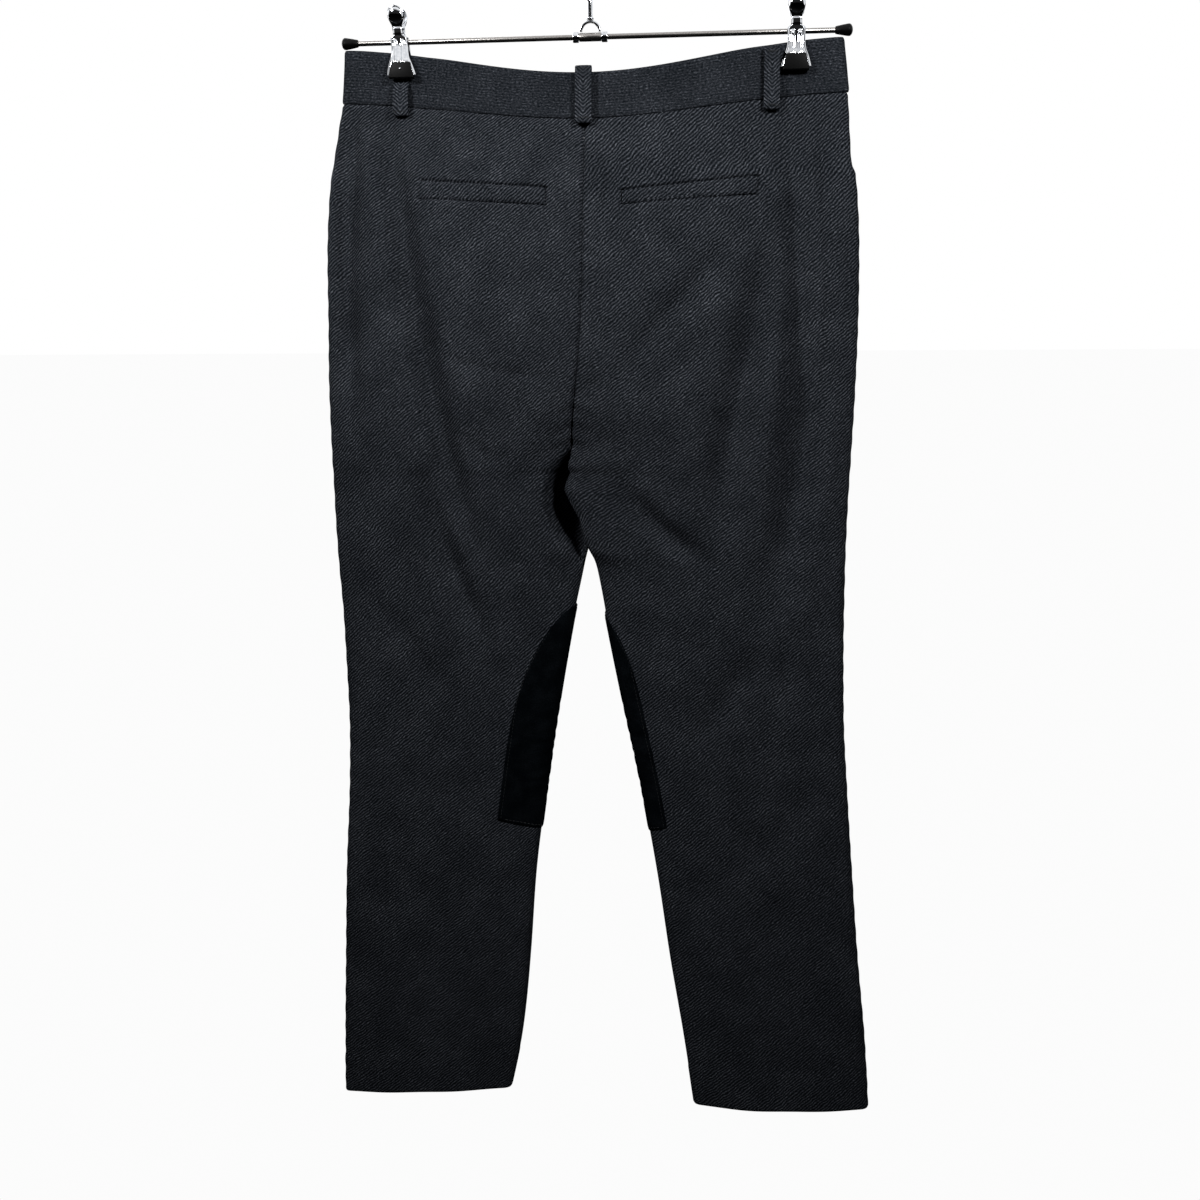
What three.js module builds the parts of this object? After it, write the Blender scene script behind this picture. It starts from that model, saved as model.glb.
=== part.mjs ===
// Slim dress trousers hung by the waistband from a clip hanger, in millimetres.
// +Z is up, +X the wearer's left, +Y the wearer's back. The origin is the inner top of the
// hook, where it rests on a rail.
import * as THREE from 'three';

// ---- driving sizes -------------------------------------------------------------------

const seamGap = 0.3; // between two sewn pieces
const panelWall = 1.5; // twill with its turnings
const bandWall = 2.4; // waistband, two layers of twill
const patchWall = 1.2; // suede
const topHeight = -85.4; // waistband's top edge at the side seams
const waistHeight = -128.1; // waist seam at the side seams
const forkHeight = -436; // where the two legs part
const hemHeight = -1036; // lowest point of the hems
const barHeight = -80; // hanger bar's axis

const sides = { left: 1, right: -1 };
const faces = { back: 1, front: -1 };

// ---- tables and curves ---------------------------------------------------------------

const table = (names, rows) =>
  rows.map((row) => Object.fromEntries(names.map((name, i) => [name, row[i]])));

// The trousers' form at each height. out is the side seam; in is the centre seam above the
// fork and the inseam below it, measured from the middle to the wearer's left or right.
// reach is how far the section runs on past the centre seam, back and front are its half
// depths, square is how evenly they hold towards the middle, edge is the radius of its
// folded edges, and lean slants the slit between the legs.
const form = table(
  ['z', 'outLeft', 'outRight', 'inLeft', 'inRight', 'reach', 'back', 'front', 'square', 'edge', 'lean'],
  [
    [-84, 202.2, 207.2, 1, -1, 1, 11, 12, 2.5, 4, 0],
    [-110, 204.5, 210.6, 1, -1, 1, 12.5, 14, 2.5, 4, 0],
    [-128, 206.6, 212.3, 1, -1, 1, 14, 16, 2.5, 4, 0],
    [-146, 210.4, 213.4, 1, -1, 1, 17, 18, 2.5, 4, 0],
    [-184, 218.2, 216.2, 1, -1, 1, 26, 22, 2.5, 5, 0],
    [-192, 219.8, 219.5, 1.2, -1.2, 1, 28, 22.5, 2.5, 5, 0],
    [-250, 224.9, 223.3, 2, -2, 1, 35, 25, 2.5, 6, 0],
    [-305, 226.8, 224, 2.5, -2.5, 0.88, 38, 27, 2.5, 6, 1],
    [-370, 229.1, 223.3, 4.5, -4.5, 0.4, 37, 28, 2.7, 6, 5],
    [-400, 229.1, 222.5, 6, -6, 0.19, 34.5, 27.5, 3.1, 6, 9],
    [-418, 228.9, 221.9, 7.2, -7.2, 0.085, 32.5, 27, 3.5, 6, 11.5],
    [-428, 228.8, 221.6, 7.7, -7.7, 0.035, 31.3, 26.5, 3.8, 6, 13],
    [-436, 228.5, 221.2, 8, -8, 0, 30, 25.8, 4, 6, 14],
    [-475, 228, 219.8, 6, -3.2, 0, 26.5, 23.8, 3.9, 6.5, 14],
    [-500, 227.4, 219.1, 4.4, -0.6, 0, 24, 22, 3.7, 7, 10],
    [-515, 227, 218.8, 7.1, 3.2, 0, 22.5, 21, 3.5, 7, 6],
    [-570, 225, 218.4, 18.4, 12.8, 0, 20, 18.5, 3, 7, 0],
    [-645, 224.8, 219.9, 32, 27.2, 0, 17.5, 16.5, 2.5, 7, 0],
    [-720, 227.4, 225.2, 43.6, 42.4, 0, 16, 15.5, 2.5, 7, 0],
    [-800, 232.9, 232, 54.4, 55.4, 0, 15.5, 15, 2.5, 7, 0],
    [-880, 237.6, 238.8, 61.4, 66.4, 0, 15, 14.5, 2.5, 7, 0],
    [-960, 242.3, 246.8, 70.8, 79.6, 0, 15, 14.5, 2.5, 7, 0],
    [-1036, 245.8, 252.6, 85, 90.5, 0, 16, 15.5, 2.5, 7, 0],
  ],
);

// Main folds: troughs pressed into one face along a bowed line from top to bottom.
const folds = table(
  ['face', 'topX', 'topZ', 'lowX', 'lowZ', 'bow', 'depth', 'width'],
  [
    ['back', 172, -122, 204, -372, -6, 6, 13],
    ['back', 150, -112, 158, -262, 8, 6, 12],
    ['back', 152, -296, 92, -486, 5, 8, 13],
    ['back', 141, -430, 90, -590, -8, 6, 13],
    ['back', 150, -322, 12, -352, -9, 4, 12],
    ['back', -178, -108, -168, -462, -8, 9, 13],
    ['back', -160, -236, -86, -462, -8, 8, 15],
    ['back', -128, -224, -30, -330, -5, 4, 12],
    ['back', -22, -182, -12, -228, 0, 2.5, 6],
    ['back', -30, -442, -112, -516, -6, 5, 12],
    ['back', -148, -584, -88, -684, 0, 3, 14],
    ['front', 168, -112, 186, -360, 5, 6, 13],
    ['front', 148, -260, 60, -440, 8, 6, 14],
    ['front', -174, -108, -184, -400, -5, 7, 13],
    ['front', -150, -250, -52, -446, -8, 6, 14],
    ['front', 40, -455, 110, -540, 6, 4, 12],
    ['front', -40, -450, -118, -548, -6, 4, 12],
  ],
);

const clamp = (t) => Math.min(1, Math.max(0, t));
const mix = (a, b, t) => a + (b - a) * t;
const smooth = (from, to, v) => {
  const t = clamp((v - from) / (to - from));
  return t * t * (3 - 2 * t);
};

// A column's value at a height, on a curve that never swings past its rows.
function read(rows, column, z) {
  const last = rows.length - 2;
  const found = rows.findIndex((row, i) => i <= last && z >= rows[i + 1].z);
  const i = found < 0 ? last : found;
  const steepness = (k) => (rows[k + 1][column] - rows[k][column]) / (rows[k + 1].z - rows[k].z);
  const slopeAt = (k) => {
    if (k === 0 || k === rows.length - 1) return steepness(Math.min(k, last));
    const [a, b] = [steepness(k - 1), steepness(k)];
    return a * b > 0 ? (2 * a * b) / (a + b) : 0;
  };
  const span = rows[i + 1].z - rows[i].z;
  const t = clamp((z - rows[i].z) / span);
  const rise = t * t * (3 - 2 * t);
  const early = t * (1 - t) * (1 - t) * span * slopeAt(i);
  const late = t * t * (t - 1) * span * slopeAt(i + 1);
  return mix(rows[i][column], rows[i + 1][column], rise) + early + late;
}

// ---- the cloth's form ----------------------------------------------------------------

const clips = {
  left: { x: 153, top: -52, tipLow: -109.5, tilt: 4.5, overLoop: true },
  right: { x: -169.6, top: -53, tipLow: -110.5, tilt: 0, overLoop: false },
};
const pinch = { depth: 2.55, flat: 16.5, spread: 18, low: -120, slope: 0.16, end: -330 };

// Half depth after the clips have pressed the waist together.
function pinched(depth, x, z) {
  let result = depth;
  for (const clip of Object.values(clips)) {
    const away = Math.max(0, Math.abs(x - clip.x) - pinch.flat) / pinch.spread;
    const fade = 1 - smooth(pinch.end, pinch.low, z);
    const strength = Math.exp(-away * away) * (1 - fade);
    const pressed = pinch.depth + Math.max(0, pinch.low - z) * pinch.slope;
    result = mix(result, Math.min(result, pressed), strength);
  }
  return result;
}

// How deep the folds of one face press in at a point.
function foldDepth(face, x, z) {
  let sum = 0;
  for (const fold of folds.filter((row) => row.face === face)) {
    const [dx, dz] = [fold.lowX - fold.topX, fold.lowZ - fold.topZ];
    const length = Math.hypot(dx, dz);
    const t = ((x - fold.topX) * dx + (z - fold.topZ) * dz) / (length * length);
    if (t <= 0 || t >= 1) continue;
    const taper = Math.sin(Math.PI * t);
    const across = ((x - fold.topX) * dz - (z - fold.topZ) * dx) / length - fold.bow * taper;
    sum += fold.depth * taper * Math.exp(-((across / fold.width) ** 2));
  }
  return sum;
}

const outerSquare = 2.5; // how evenly the depth holds towards the side seam

// One half's section at a height, as points from the side seam to the centre seam or inseam.
function section(side, face, z) {
  const column = side[0].toUpperCase() + side.slice(1);
  const out = read(form, 'out' + column, z);
  const inner = read(form, 'in' + column, z) + seamGap / 2;
  const edge = read(form, 'edge', z);
  const fullness = read(form, face, z) - edge;
  const square = read(form, 'square', z);
  const farEnd = inner - read(form, 'reach', z) * (out - inner);
  const [middle, half] = [(out + farEnd) / 2, (out - farEnd) / 2];
  const steps = 96;
  return Array.from({ length: steps + 1 }, (unused, i) => {
    const x = mix(out, inner, (1 - Math.cos((Math.PI * i) / steps)) / 2);
    const fromEnd = clamp((half - Math.abs(x - middle)) / edge);
    const rounding = edge * Math.sqrt(1 - (1 - fromEnd) ** 2);
    const power = x < middle ? square : outerSquare;
    const crown = fullness * (1 - Math.min(1, Math.abs(x - middle) / half) ** power);
    return { x, depth: rounding + crown, inward: (out - x) / (out - inner) };
  });
}

// The point that lies a given share of the way round a section, from the side seam.
function sectionPoint(side, face, share, z) {
  const points = section(side, face, z);
  const run = [0];
  for (let i = 1; i < points.length; i += 1) {
    const step = Math.hypot(points[i].x - points[i - 1].x, points[i].depth - points[i - 1].depth);
    run.push(run[i - 1] + step);
  }
  const length = run[run.length - 1];
  const goal = clamp(share) * length;
  const i = Math.max(1, run.findIndex((value) => value >= goal - 1e-9));
  const t = (goal - run[i - 1]) / (run[i] - run[i - 1]);
  const blend = (key) => mix(points[i - 1][key], points[i][key], t);
  return { x: blend('x'), depth: blend('depth'), inward: blend('inward'), length };
}

// A point on the outside of the cloth: share is 0 at the side seam, 1 at the centre or inseam.
function clothPoint(side, face, share, z) {
  const spot = sectionPoint(side, face, share, z);
  const x = sides[side] * spot.x;
  const pressed = pinched(spot.depth, x, z);
  const depth = pressed - foldDepth(face, x, z) * smooth(0, 12, pressed);
  const y = faces[face] * depth;
  const slant = (read(form, 'lean', z) * y * spot.inward ** 2) / 30;
  return new THREE.Vector3(x + slant, y + (faces[face] * seamGap) / 2, z);
}

// Outward direction of the cloth there, from its neighbours across and down.
function clothNormal(side, face, share, z) {
  const [h, drop] = [0.004, 1.5];
  const across = clothPoint(side, face, Math.min(1, share + h), z).sub(
    clothPoint(side, face, Math.max(0, share - h), z),
  );
  const down = clothPoint(side, face, share, z - drop).sub(clothPoint(side, face, share, z + drop));
  return across.cross(down).multiplyScalar(-sides[side] * faces[face]).normalize();
}

// That point moved out or in, kept on its own face's side of the side seam and inseam.
function clothOffset(side, face, share, z, out) {
  const point = clothPoint(side, face, share, z);
  point.addScaledVector(clothNormal(side, face, share, z), out);
  return point.setY(faces[face] * Math.max(seamGap / 2, faces[face] * point.y));
}

// Share of the way round at which a face passes a given X.
function shareAt(face, x, z) {
  const side = x >= 0 ? 'left' : 'right';
  let [low, high] = [0, 1];
  for (let i = 0; i < 24; i += 1) {
    const middle = (low + high) / 2;
    if (Math.abs(clothPoint(side, face, middle, z).x) > Math.abs(x)) low = middle;
    else high = middle;
  }
  return { side, share: (low + high) / 2 };
}

// A point at a given X and height on one face, moved out from the cloth.
function onFace(face, x, z, out) {
  const { side, share } = shareAt(face, x, z);
  return clothOffset(side, face, share, z, out);
}

// ---- edges of the pieces -------------------------------------------------------------

// Edges that sag from the side seams to the middle, lower at the front than at the back.
const sag = {
  top: { height: topHeight, back: 22.8, front: 34 },
  waist: { height: waistHeight, back: 16.5, front: 29 },
};
const halfSag = 215; // where the sag ends, just past the side seams

function edgeHeight(edge, face, x) {
  const droop = (1 + Math.cos((Math.PI * Math.min(halfSag, Math.abs(x))) / halfSag)) / 2;
  return edge.height - edge[face] * droop;
}

const mouth = { width: 84, low: -187, run: 14, seat: 0.5 }; // hip pocket's scooped mouth

// Height of a scoop that leaves the side seam level and meets the waist upright.
function scoopHeight(low, width, fromSide, x) {
  const rise = edgeHeight(sag.waist, 'front', x) - low;
  return low + rise * (1 - Math.sqrt(1 - clamp(fromSide / width) ** 2));
}

function hemAt(side, share) {
  return side === 'left' ? -1021 - 12.5 * (1 - share) ** 1.8 : -1024.5 - 4 * share;
}

// ---- building blocks -----------------------------------------------------------------

const grid = (rows, columns, point) =>
  Array.from({ length: rows + 1 }, (unused, j) =>
    Array.from({ length: columns + 1 }, (unusedToo, i) => point(i / columns, j / rows)),
  );

// A closed wall between two grids of points with the same rows and columns.
function wall(outer, inner) {
  const [rows, columns] = [outer.length, outer[0].length];
  const positions = [...outer.flat(), ...inner.flat()].flatMap((p) => [p.x, p.y, p.z]);
  const at = (j, i) => j * columns + i;
  const index = [];
  const back = rows * columns;
  const quad = (a, b, c, d) => index.push(a, b, c, a, c, d);
  for (let j = 0; j < rows - 1; j += 1) {
    for (let i = 0; i < columns - 1; i += 1) {
      const [a, b, c, d] = [at(j, i), at(j, i + 1), at(j + 1, i + 1), at(j + 1, i)];
      quad(a, b, c, d);
      quad(back + d, back + c, back + b, back + a);
    }
  }
  const rim = [
    ...Array.from({ length: columns - 1 }, (unused, i) => at(0, i)),
    ...Array.from({ length: rows - 1 }, (unused, j) => at(j, columns - 1)),
    ...Array.from({ length: columns - 1 }, (unused, i) => at(rows - 1, columns - 1 - i)),
    ...Array.from({ length: rows - 1 }, (unused, j) => at(rows - 1 - j, 0)),
  ];
  rim.forEach((a, i) => {
    const b = rim[(i + 1) % rim.length];
    quad(b, a, back + a, back + b);
  });
  const geometry = new THREE.BufferGeometry();
  geometry.setAttribute('position', new THREE.Float32BufferAttribute(positions, 3));
  geometry.setIndex(index);
  return outwards(geometry);
}

// Turns a closed geometry's faces out if its volume comes out negative.
function outwards(geometry) {
  const p = geometry.getAttribute('position');
  const index = geometry.getIndex().array;
  const corner = (k) => new THREE.Vector3().fromBufferAttribute(p, index[k]);
  let volume = 0;
  for (let k = 0; k < index.length; k += 3) volume += corner(k).dot(corner(k + 1).cross(corner(k + 2)));
  if (volume < 0) geometry.setIndex(Array.from(index).reverse());
  geometry.computeVertexNormals();
  return geometry;
}

const charcoal = { color: 0x2f3236, roughness: 0.92, metalness: 0 };
const suede = { color: 0x0c0e12, roughness: 1, metalness: 0 };
const horn = { color: 0x1b1a1a, roughness: 0.35, metalness: 0 };
const chrome = { color: 0xd4d6da, roughness: 0.12, metalness: 1 };
const rubber = { color: 0x0d0d0e, roughness: 0.6, metalness: 0 };

const group = new THREE.Group();

function addPart(name, geometry, material) {
  const mesh = new THREE.Mesh(geometry, new THREE.MeshStandardMaterial(material));
  mesh.name = name;
  group.add(mesh);
  return mesh;
}

// Columns closer together at a panel's two edges, where it turns.
const spread = (u) => mix(u, (1 - Math.cos(Math.PI * u)) / 2, 0.7);

// ---- legs ----------------------------------------------------------------------------

// Heights of a panel's rows, closest where the seat turns under to the fork.
const rowBands = table(
  ['from', 'to', 'rows'],
  [
    [waistHeight, -205, 5],
    [-205, -405, 8],
    [-405, forkHeight, 4],
    [forkHeight, -515, 3],
    [-515, -755, 5],
    [-755, hemHeight, 5],
  ],
);
const levels = [
  ...rowBands.flatMap(({ from, to, rows }) =>
    Array.from({ length: rows }, (unused, i) => mix(from, to, i / rows)),
  ),
  hemHeight,
];
const panelColumns = 18;
const panelShares = Array.from({ length: panelColumns + 1 }, (unused, i) => spread(i / panelColumns));
const topFade = -205; // rows above this follow the waist seam
const hemFade = -880; // rows below this follow the hem

function panelTop(side, face, share) {
  const spot = sectionPoint(side, face, share, waistHeight);
  const fromSide = share * spot.length;
  const waist = edgeHeight(sag.waist, face, spot.x);
  if (face === 'back') return waist;
  return Math.min(waist, scoopHeight(mouth.low, mouth.width, fromSide, spot.x));
}

function levelAt(side, face, share, level) {
  const towardsTop = clamp((level - topFade) / (waistHeight - topFade));
  const towardsHem = clamp((hemFade - level) / (hemFade - hemHeight));
  const top = (panelTop(side, face, share) - waistHeight) * towardsTop;
  const hem = (hemAt(side, share) - hemHeight) * towardsHem;
  return level + top + hem;
}

function legPanel(side, face) {
  const layer = (out) =>
    levels.map((level) =>
      panelShares.map((share) => clothOffset(side, face, share, levelAt(side, face, share, level), out)),
    );
  return wall(layer(0), layer(-panelWall));
}

// The panel's own columns between two shares, with the two ends.
const sharesBetween = (from, to) => [
  from,
  ...panelShares.filter((share) => share > from + 0.01 && share < to - 0.01),
  to,
];

// A point on a panel's flats: on the chord between its two nearest columns.
function flatPoint(side, face, share, z, out) {
  const i = Math.min(panelColumns - 1, Math.max(0, panelShares.findIndex((s) => s > share) - 1));
  const t = (share - panelShares[i]) / (panelShares[i + 1] - panelShares[i]);
  const before = clothOffset(side, face, panelShares[i], z, out);
  return before.lerp(clothOffset(side, face, panelShares[i + 1], z, out), t);
}

for (const side of Object.keys(sides)) {
  for (const face of Object.keys(faces)) addPart(`${face}_${side}`, legPanel(side, face), charcoal);
}

// ---- hip pockets ---------------------------------------------------------------------

// The piece behind each scooped mouth, one cloth deeper than the front.
function pocketPiece(side) {
  const { length } = sectionPoint(side, 'front', 0, waistHeight);
  const shares = sharesBetween(0, (mouth.width + mouth.run - 4) / length);
  const layer = (out) =>
    [0, 0.25, 0.5, 0.75, 1].map((v) =>
      shares.map((share) => {
        const { x } = sectionPoint(side, 'front', share, waistHeight);
        const top = edgeHeight(sag.waist, 'front', x) - seamGap;
        const bottom = scoopHeight(mouth.low - mouth.run, mouth.width + mouth.run, share * length, x);
        return flatPoint(side, 'front', share, mix(top, bottom, v), out);
      }),
    );
  const front = -panelWall - mouth.seat;
  return wall(layer(front), layer(front - panelWall));
}

for (const side of Object.keys(sides)) addPart(`pocket_${side}`, pocketPiece(side), charcoal);

// ---- waistband -----------------------------------------------------------------------

const bandColumns = 26;
const bandRows = 2;

function bandPoint(side, face, share, up, out) {
  const { x } = sectionPoint(side, face, share, waistHeight);
  const low = edgeHeight(sag.waist, face, x) + seamGap;
  return clothOffset(side, face, share, mix(low, edgeHeight(sag.top, face, x), up), out);
}

// One strip across the back, from side seam to side seam.
function backBand() {
  const layer = (out) =>
    grid(bandRows, 2 * bandColumns, (u, v) => {
      const side = u <= 0.5 ? 'left' : 'right';
      return bandPoint(side, 'back', 1 - Math.abs(2 * u - 1), v, out);
    });
  return wall(layer(0), layer(-bandWall));
}

function frontBandLeft() {
  const layer = (out) => grid(bandRows, bandColumns, (u, v) => bandPoint('left', 'front', u, v, out));
  return wall(layer(0), layer(-bandWall));
}

// The right front band steps out past the middle and laps over the left one.
const lap = { length: 32, stepStart: -7, stepEnd: -1.2 };

function frontBandRight() {
  const layer = (out) =>
    grid(bandRows, bandColumns + 8, (u, v) => {
      const split = bandColumns / (bandColumns + 8);
      if (u <= split) {
        const share = u / split;
        const { x } = sectionPoint('right', 'front', share, waistHeight);
        const step = (bandWall + seamGap) * smooth(lap.stepStart, lap.stepEnd, -x);
        return bandPoint('right', 'front', share, v, out + step);
      }
      const x = mix(1, lap.length, (u - split) / (1 - split));
      const low = edgeHeight(sag.waist, 'front', x) + seamGap;
      const z = mix(low, edgeHeight(sag.top, 'front', x), v);
      return onFace('front', x, z, out + bandWall + seamGap);
    });
  return wall(layer(0), layer(-bandWall));
}

addPart('waistband_back', backBand(), charcoal);
addPart('waistband_front_left', frontBandLeft(), charcoal);
addPart('waistband_front_right', frontBandRight(), charcoal);

// ---- belt loops ----------------------------------------------------------------------

const loopWall = 1.6;
const loopSeat = 0.9; // under the turned ends
const loopStand = 5.4; // room for a belt behind a loop

// A strap turned under at both ends, or flat at the top where a clip presses it.
const loops = table(
  ['name', 'face', 'x', 'width', 'high', 'low', 'pressed'],
  [
    ['back_center', 'back', 1, 13, -103.5, -149.5, false],
    ['back_left', 'back', 154.5, 12.5, -92, -139.5, true],
    ['back_right', 'back', -149.5, 12.5, -92.5, -141, false],
    ['front_left', 'front', 92, 12.5, -100, -149, false],
    ['front_right', 'front', -96, 12.5, -100, -149, false],
  ],
);

// The strap's middle line as distance out from the cloth and height, from its top end down.
function strapLine(loop) {
  const near = loopSeat + loopWall / 2;
  const far = loopStand + loopWall / 2;
  const bend = (far - near) / 2;
  const turn = (centre, from, to) =>
    Array.from({ length: 5 }, (unused, i) => {
      const angle = mix(from, to, i / 4);
      return [near + bend + bend * Math.cos(angle), centre + bend * Math.sin(angle)];
    });
  const [high, low] = [loop.high - loopWall / 2 - bend, loop.low + loopWall / 2 + bend];
  const underTop = [[near, high - 3.5], ...turn(high, Math.PI, 0)];
  const flatTop = [[near, loop.high], [near, -111.5], [near + 0.6, -113], [far - 0.8, -117.5], [far, -120]];
  const underLow = [...turn(low, 0, -Math.PI), [near, low + 3]];
  return [...(loop.pressed ? flatTop : underTop), ...underLow];
}

// Points half a wall to one side of a line in its plane.
function besideLine(line, distance) {
  return line.map((point, i) => {
    const before = line[Math.max(0, i - 1)];
    const after = line[Math.min(line.length - 1, i + 1)];
    const [a, b] = [after[0] - before[0], after[1] - before[1]];
    const length = Math.hypot(a, b);
    return [point[0] - (b / length) * distance, point[1] + (a / length) * distance];
  });
}

function beltLoop(loop) {
  const line = strapLine(loop);
  const middle = (loop.high + loop.low) / 2;
  const { side, share } = shareAt(loop.face, loop.x, middle);
  const outward = clothNormal(side, loop.face, share, middle).setZ(0).normalize();
  const columns = 2;
  const layer = (distance) =>
    besideLine(line, distance).map(([out, z]) =>
      Array.from({ length: columns + 1 }, (unused, i) => {
        const x = loop.x + loop.width * (i / columns - 0.5);
        const base = onFace(loop.face, x, z, 0);
        return base.addScaledVector(outward, out);
      }),
    );
  return wall(layer(loopWall / 2), layer(-loopWall / 2));
}

for (const loop of loops) addPart(`loop_${loop.name}`, beltLoop(loop), charcoal);

// ---- back welts ----------------------------------------------------------------------

const weltWall = 1.2;
const weltSeat = 0.4; // clear of the panel's own facets
const welts = {
  left: { outer: [140, -192, -205.5], inner: [32.4, -199.6, -212.6] },
  right: { outer: [-139.7, -193, -206.1], inner: [-31, -203, -213.1] },
};

function welt(side, { outer, inner }) {
  const [from, to] = [outer, inner].map(([x, top, low]) => shareAt('back', x, (top + low) / 2).share);
  const shares = sharesBetween(from, to);
  const layer = (out) =>
    [0, 1].map((v) =>
      shares.map((share) => {
        const u = (share - from) / (to - from);
        const z = mix(mix(outer[1], inner[1], u), mix(outer[2], inner[2], u), v);
        return flatPoint(side, 'back', share, z, out);
      }),
    );
  return wall(layer(weltSeat + weltWall), layer(weltSeat));
}

for (const [side, place] of Object.entries(welts)) addPart(`welt_${side}`, welt(side, place), charcoal);

// ---- inner leg patches ---------------------------------------------------------------

// Each patch wraps round the inseam. Its arched top is highest at apex, measured from the
// inseam towards the back, and drops to its full width on both sides.
const patches = {
  left: { back: 45, front: 24, apex: 0, top: -552, drop: 130, power: 2 },
  right: { back: 22.5, front: 45, apex: -16, top: -556, drop: 92, power: 2.6 },
};
const patchLow = { outer: -750, inner: -761 };

function patch(side, { back, front, apex, top, drop, power }) {
  const fromInseam = (u) => mix(back, -front, u);
  const wide = Math.max(back - apex, front + apex);
  const bottomAt = (away) => mix(patchLow.inner, patchLow.outer, Math.abs(away) / wide);
  const topAt = (away) => {
    const t = clamp(Math.abs(away - apex) / (away > apex ? back - apex : front + apex));
    return top - drop * (1 - (1 - t ** power) ** (1 / power));
  };
  const layer = (out) =>
    grid(6, 17, (u, v) => {
      const away = fromInseam(u);
      const face = away >= 0 ? 'back' : 'front';
      const z = mix(topAt(away), bottomAt(away), v);
      const { length } = sectionPoint(side, face, 1, z);
      return clothOffset(side, face, 1 - Math.abs(away) / length, z, out);
    });
  return wall(layer(seamGap + 0.15 + patchWall), layer(seamGap + 0.15));
}

for (const [side, shape] of Object.entries(patches)) addPart(`patch_${side}`, patch(side, shape), suede);

// ---- fly and button ------------------------------------------------------------------

const fly = { lapWidth: 34, overlap: 5, low: -300, curveStart: -252, wall: 1.2 };

// A J shaped lap on the right front, its free edge just past the middle.
function flyLap() {
  const top = edgeHeight(sag.waist, 'front', 0) - seamGap;
  const edgeX = (z) => {
    const t = clamp((fly.curveStart - z) / (fly.curveStart - fly.low));
    return fly.overlap - 3 - (fly.lapWidth - 3) * Math.sqrt(1 - t * t);
  };
  const layer = (out) =>
    grid(10, 5, (u, v) => {
      const z = mix(top, fly.low, v ** 0.8);
      return onFace('front', mix(edgeX(z), fly.overlap, u), z, out);
    });
  return wall(layer(seamGap + 0.2 + fly.wall), layer(seamGap + 0.2));
}

// The closed zip lies behind the two fronts.
function flyZip() {
  const behind = -panelWall - seamGap - 0.2;
  const layer = (out) =>
    grid(6, 2, (u, v) => onFace('front', mix(-11, 13, u), mix(-162, -288, v), out));
  return wall(layer(behind), layer(behind - 1.2));
}

addPart('fly_lap', flyLap(), charcoal);
addPart('fly_zip', flyZip(), rubber);

const button = { radius: 7.5, thick: 1.6, bevel: 0.5, hole: 0.9, spacing: 1.7, x: 20, z: -138 };

function buttonGeometry() {
  const outline = new THREE.Shape().absarc(0, 0, button.radius - button.bevel, 0, 2 * Math.PI);
  for (const [x, y] of [[1, 1], [1, -1], [-1, 1], [-1, -1]]) {
    const hole = new THREE.Path();
    hole.absarc(x * button.spacing, y * button.spacing, button.hole + button.bevel, 0, 2 * Math.PI);
    outline.holes.push(hole);
  }
  return new THREE.ExtrudeGeometry(outline, {
    depth: button.thick,
    bevelSize: button.bevel,
    bevelThickness: button.bevel,
    bevelSegments: 1,
    curveSegments: 6,
  });
}

const sewnButton = addPart('waist_button', buttonGeometry(), horn);
const buttonSeat = onFace('front', button.x, button.z, bandWall + 2 * seamGap + button.bevel + 0.2);
const { side: buttonSide, share: buttonShare } = shareAt('front', button.x, button.z);
const buttonFacing = clothNormal(buttonSide, 'front', buttonShare, button.z);
sewnButton.position.copy(buttonSeat);
sewnButton.quaternion.setFromUnitVectors(new THREE.Vector3(0, 0, 1), buttonFacing);

// ---- hanger bar and hook -------------------------------------------------------------

const bar = { radius: 2.15, left: 204.6, right: -214.3 };
const cap = { length: 14, neck: 3, flare: 4.8, bore: 8 };
const stem = { x: -3, radius: 2.3 };
const hookRadius = 21; // inside the crown

const barGeometry = new THREE.CylinderGeometry(
  bar.radius,
  bar.radius,
  bar.left - bar.right - 2 * (cap.length - cap.bore + seamGap),
  16,
);
const barMesh = addPart('hanger_bar', barGeometry, chrome);
barMesh.rotation.z = Math.PI / 2;
barMesh.position.set((bar.left + bar.right) / 2, 0, barHeight);

// Profile points are radius and distance along the axis, closed on themselves.
const lathe = (profile, segments = 14) =>
  new THREE.LatheGeometry(profile.map(([r, along]) => new THREE.Vector2(r, along)), segments);

function capGeometry() {
  const hole = bar.radius + seamGap;
  const round = Array.from({ length: 5 }, (unused, i) => {
    const angle = (i / 4) * (Math.PI / 2);
    return [cap.flare * Math.cos(angle), cap.length - 3 + 3 * Math.sin(angle)];
  });
  round[4][0] = 0;
  return lathe([[0, cap.bore], [hole, cap.bore], [hole, 0], [cap.neck, 0], ...round]);
}

for (const side of Object.keys(sides)) {
  const mesh = addPart(`cap_${side}`, capGeometry(), rubber);
  mesh.rotation.z = -sides[side] * (Math.PI / 2);
  mesh.position.set(bar[side] - sides[side] * cap.length, 0, barHeight);
}

const ringSleeve = { half: 9, inner: bar.radius + seamGap, outer: 3.4, collar: 4.2, collarHalf: 2.5 };
const ring = { radius: 7.7, wire: 1.3, z: barHeight + ringSleeve.outer + seamGap + 0.6 };

// A short sleeve and two collars keep the hook's ring in the middle of the bar.
function sleeveGeometry(half, outer) {
  const { inner } = ringSleeve;
  return lathe([[inner, -half], [outer, -half], [outer, half], [inner, half], [inner, -half]]);
}

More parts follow.
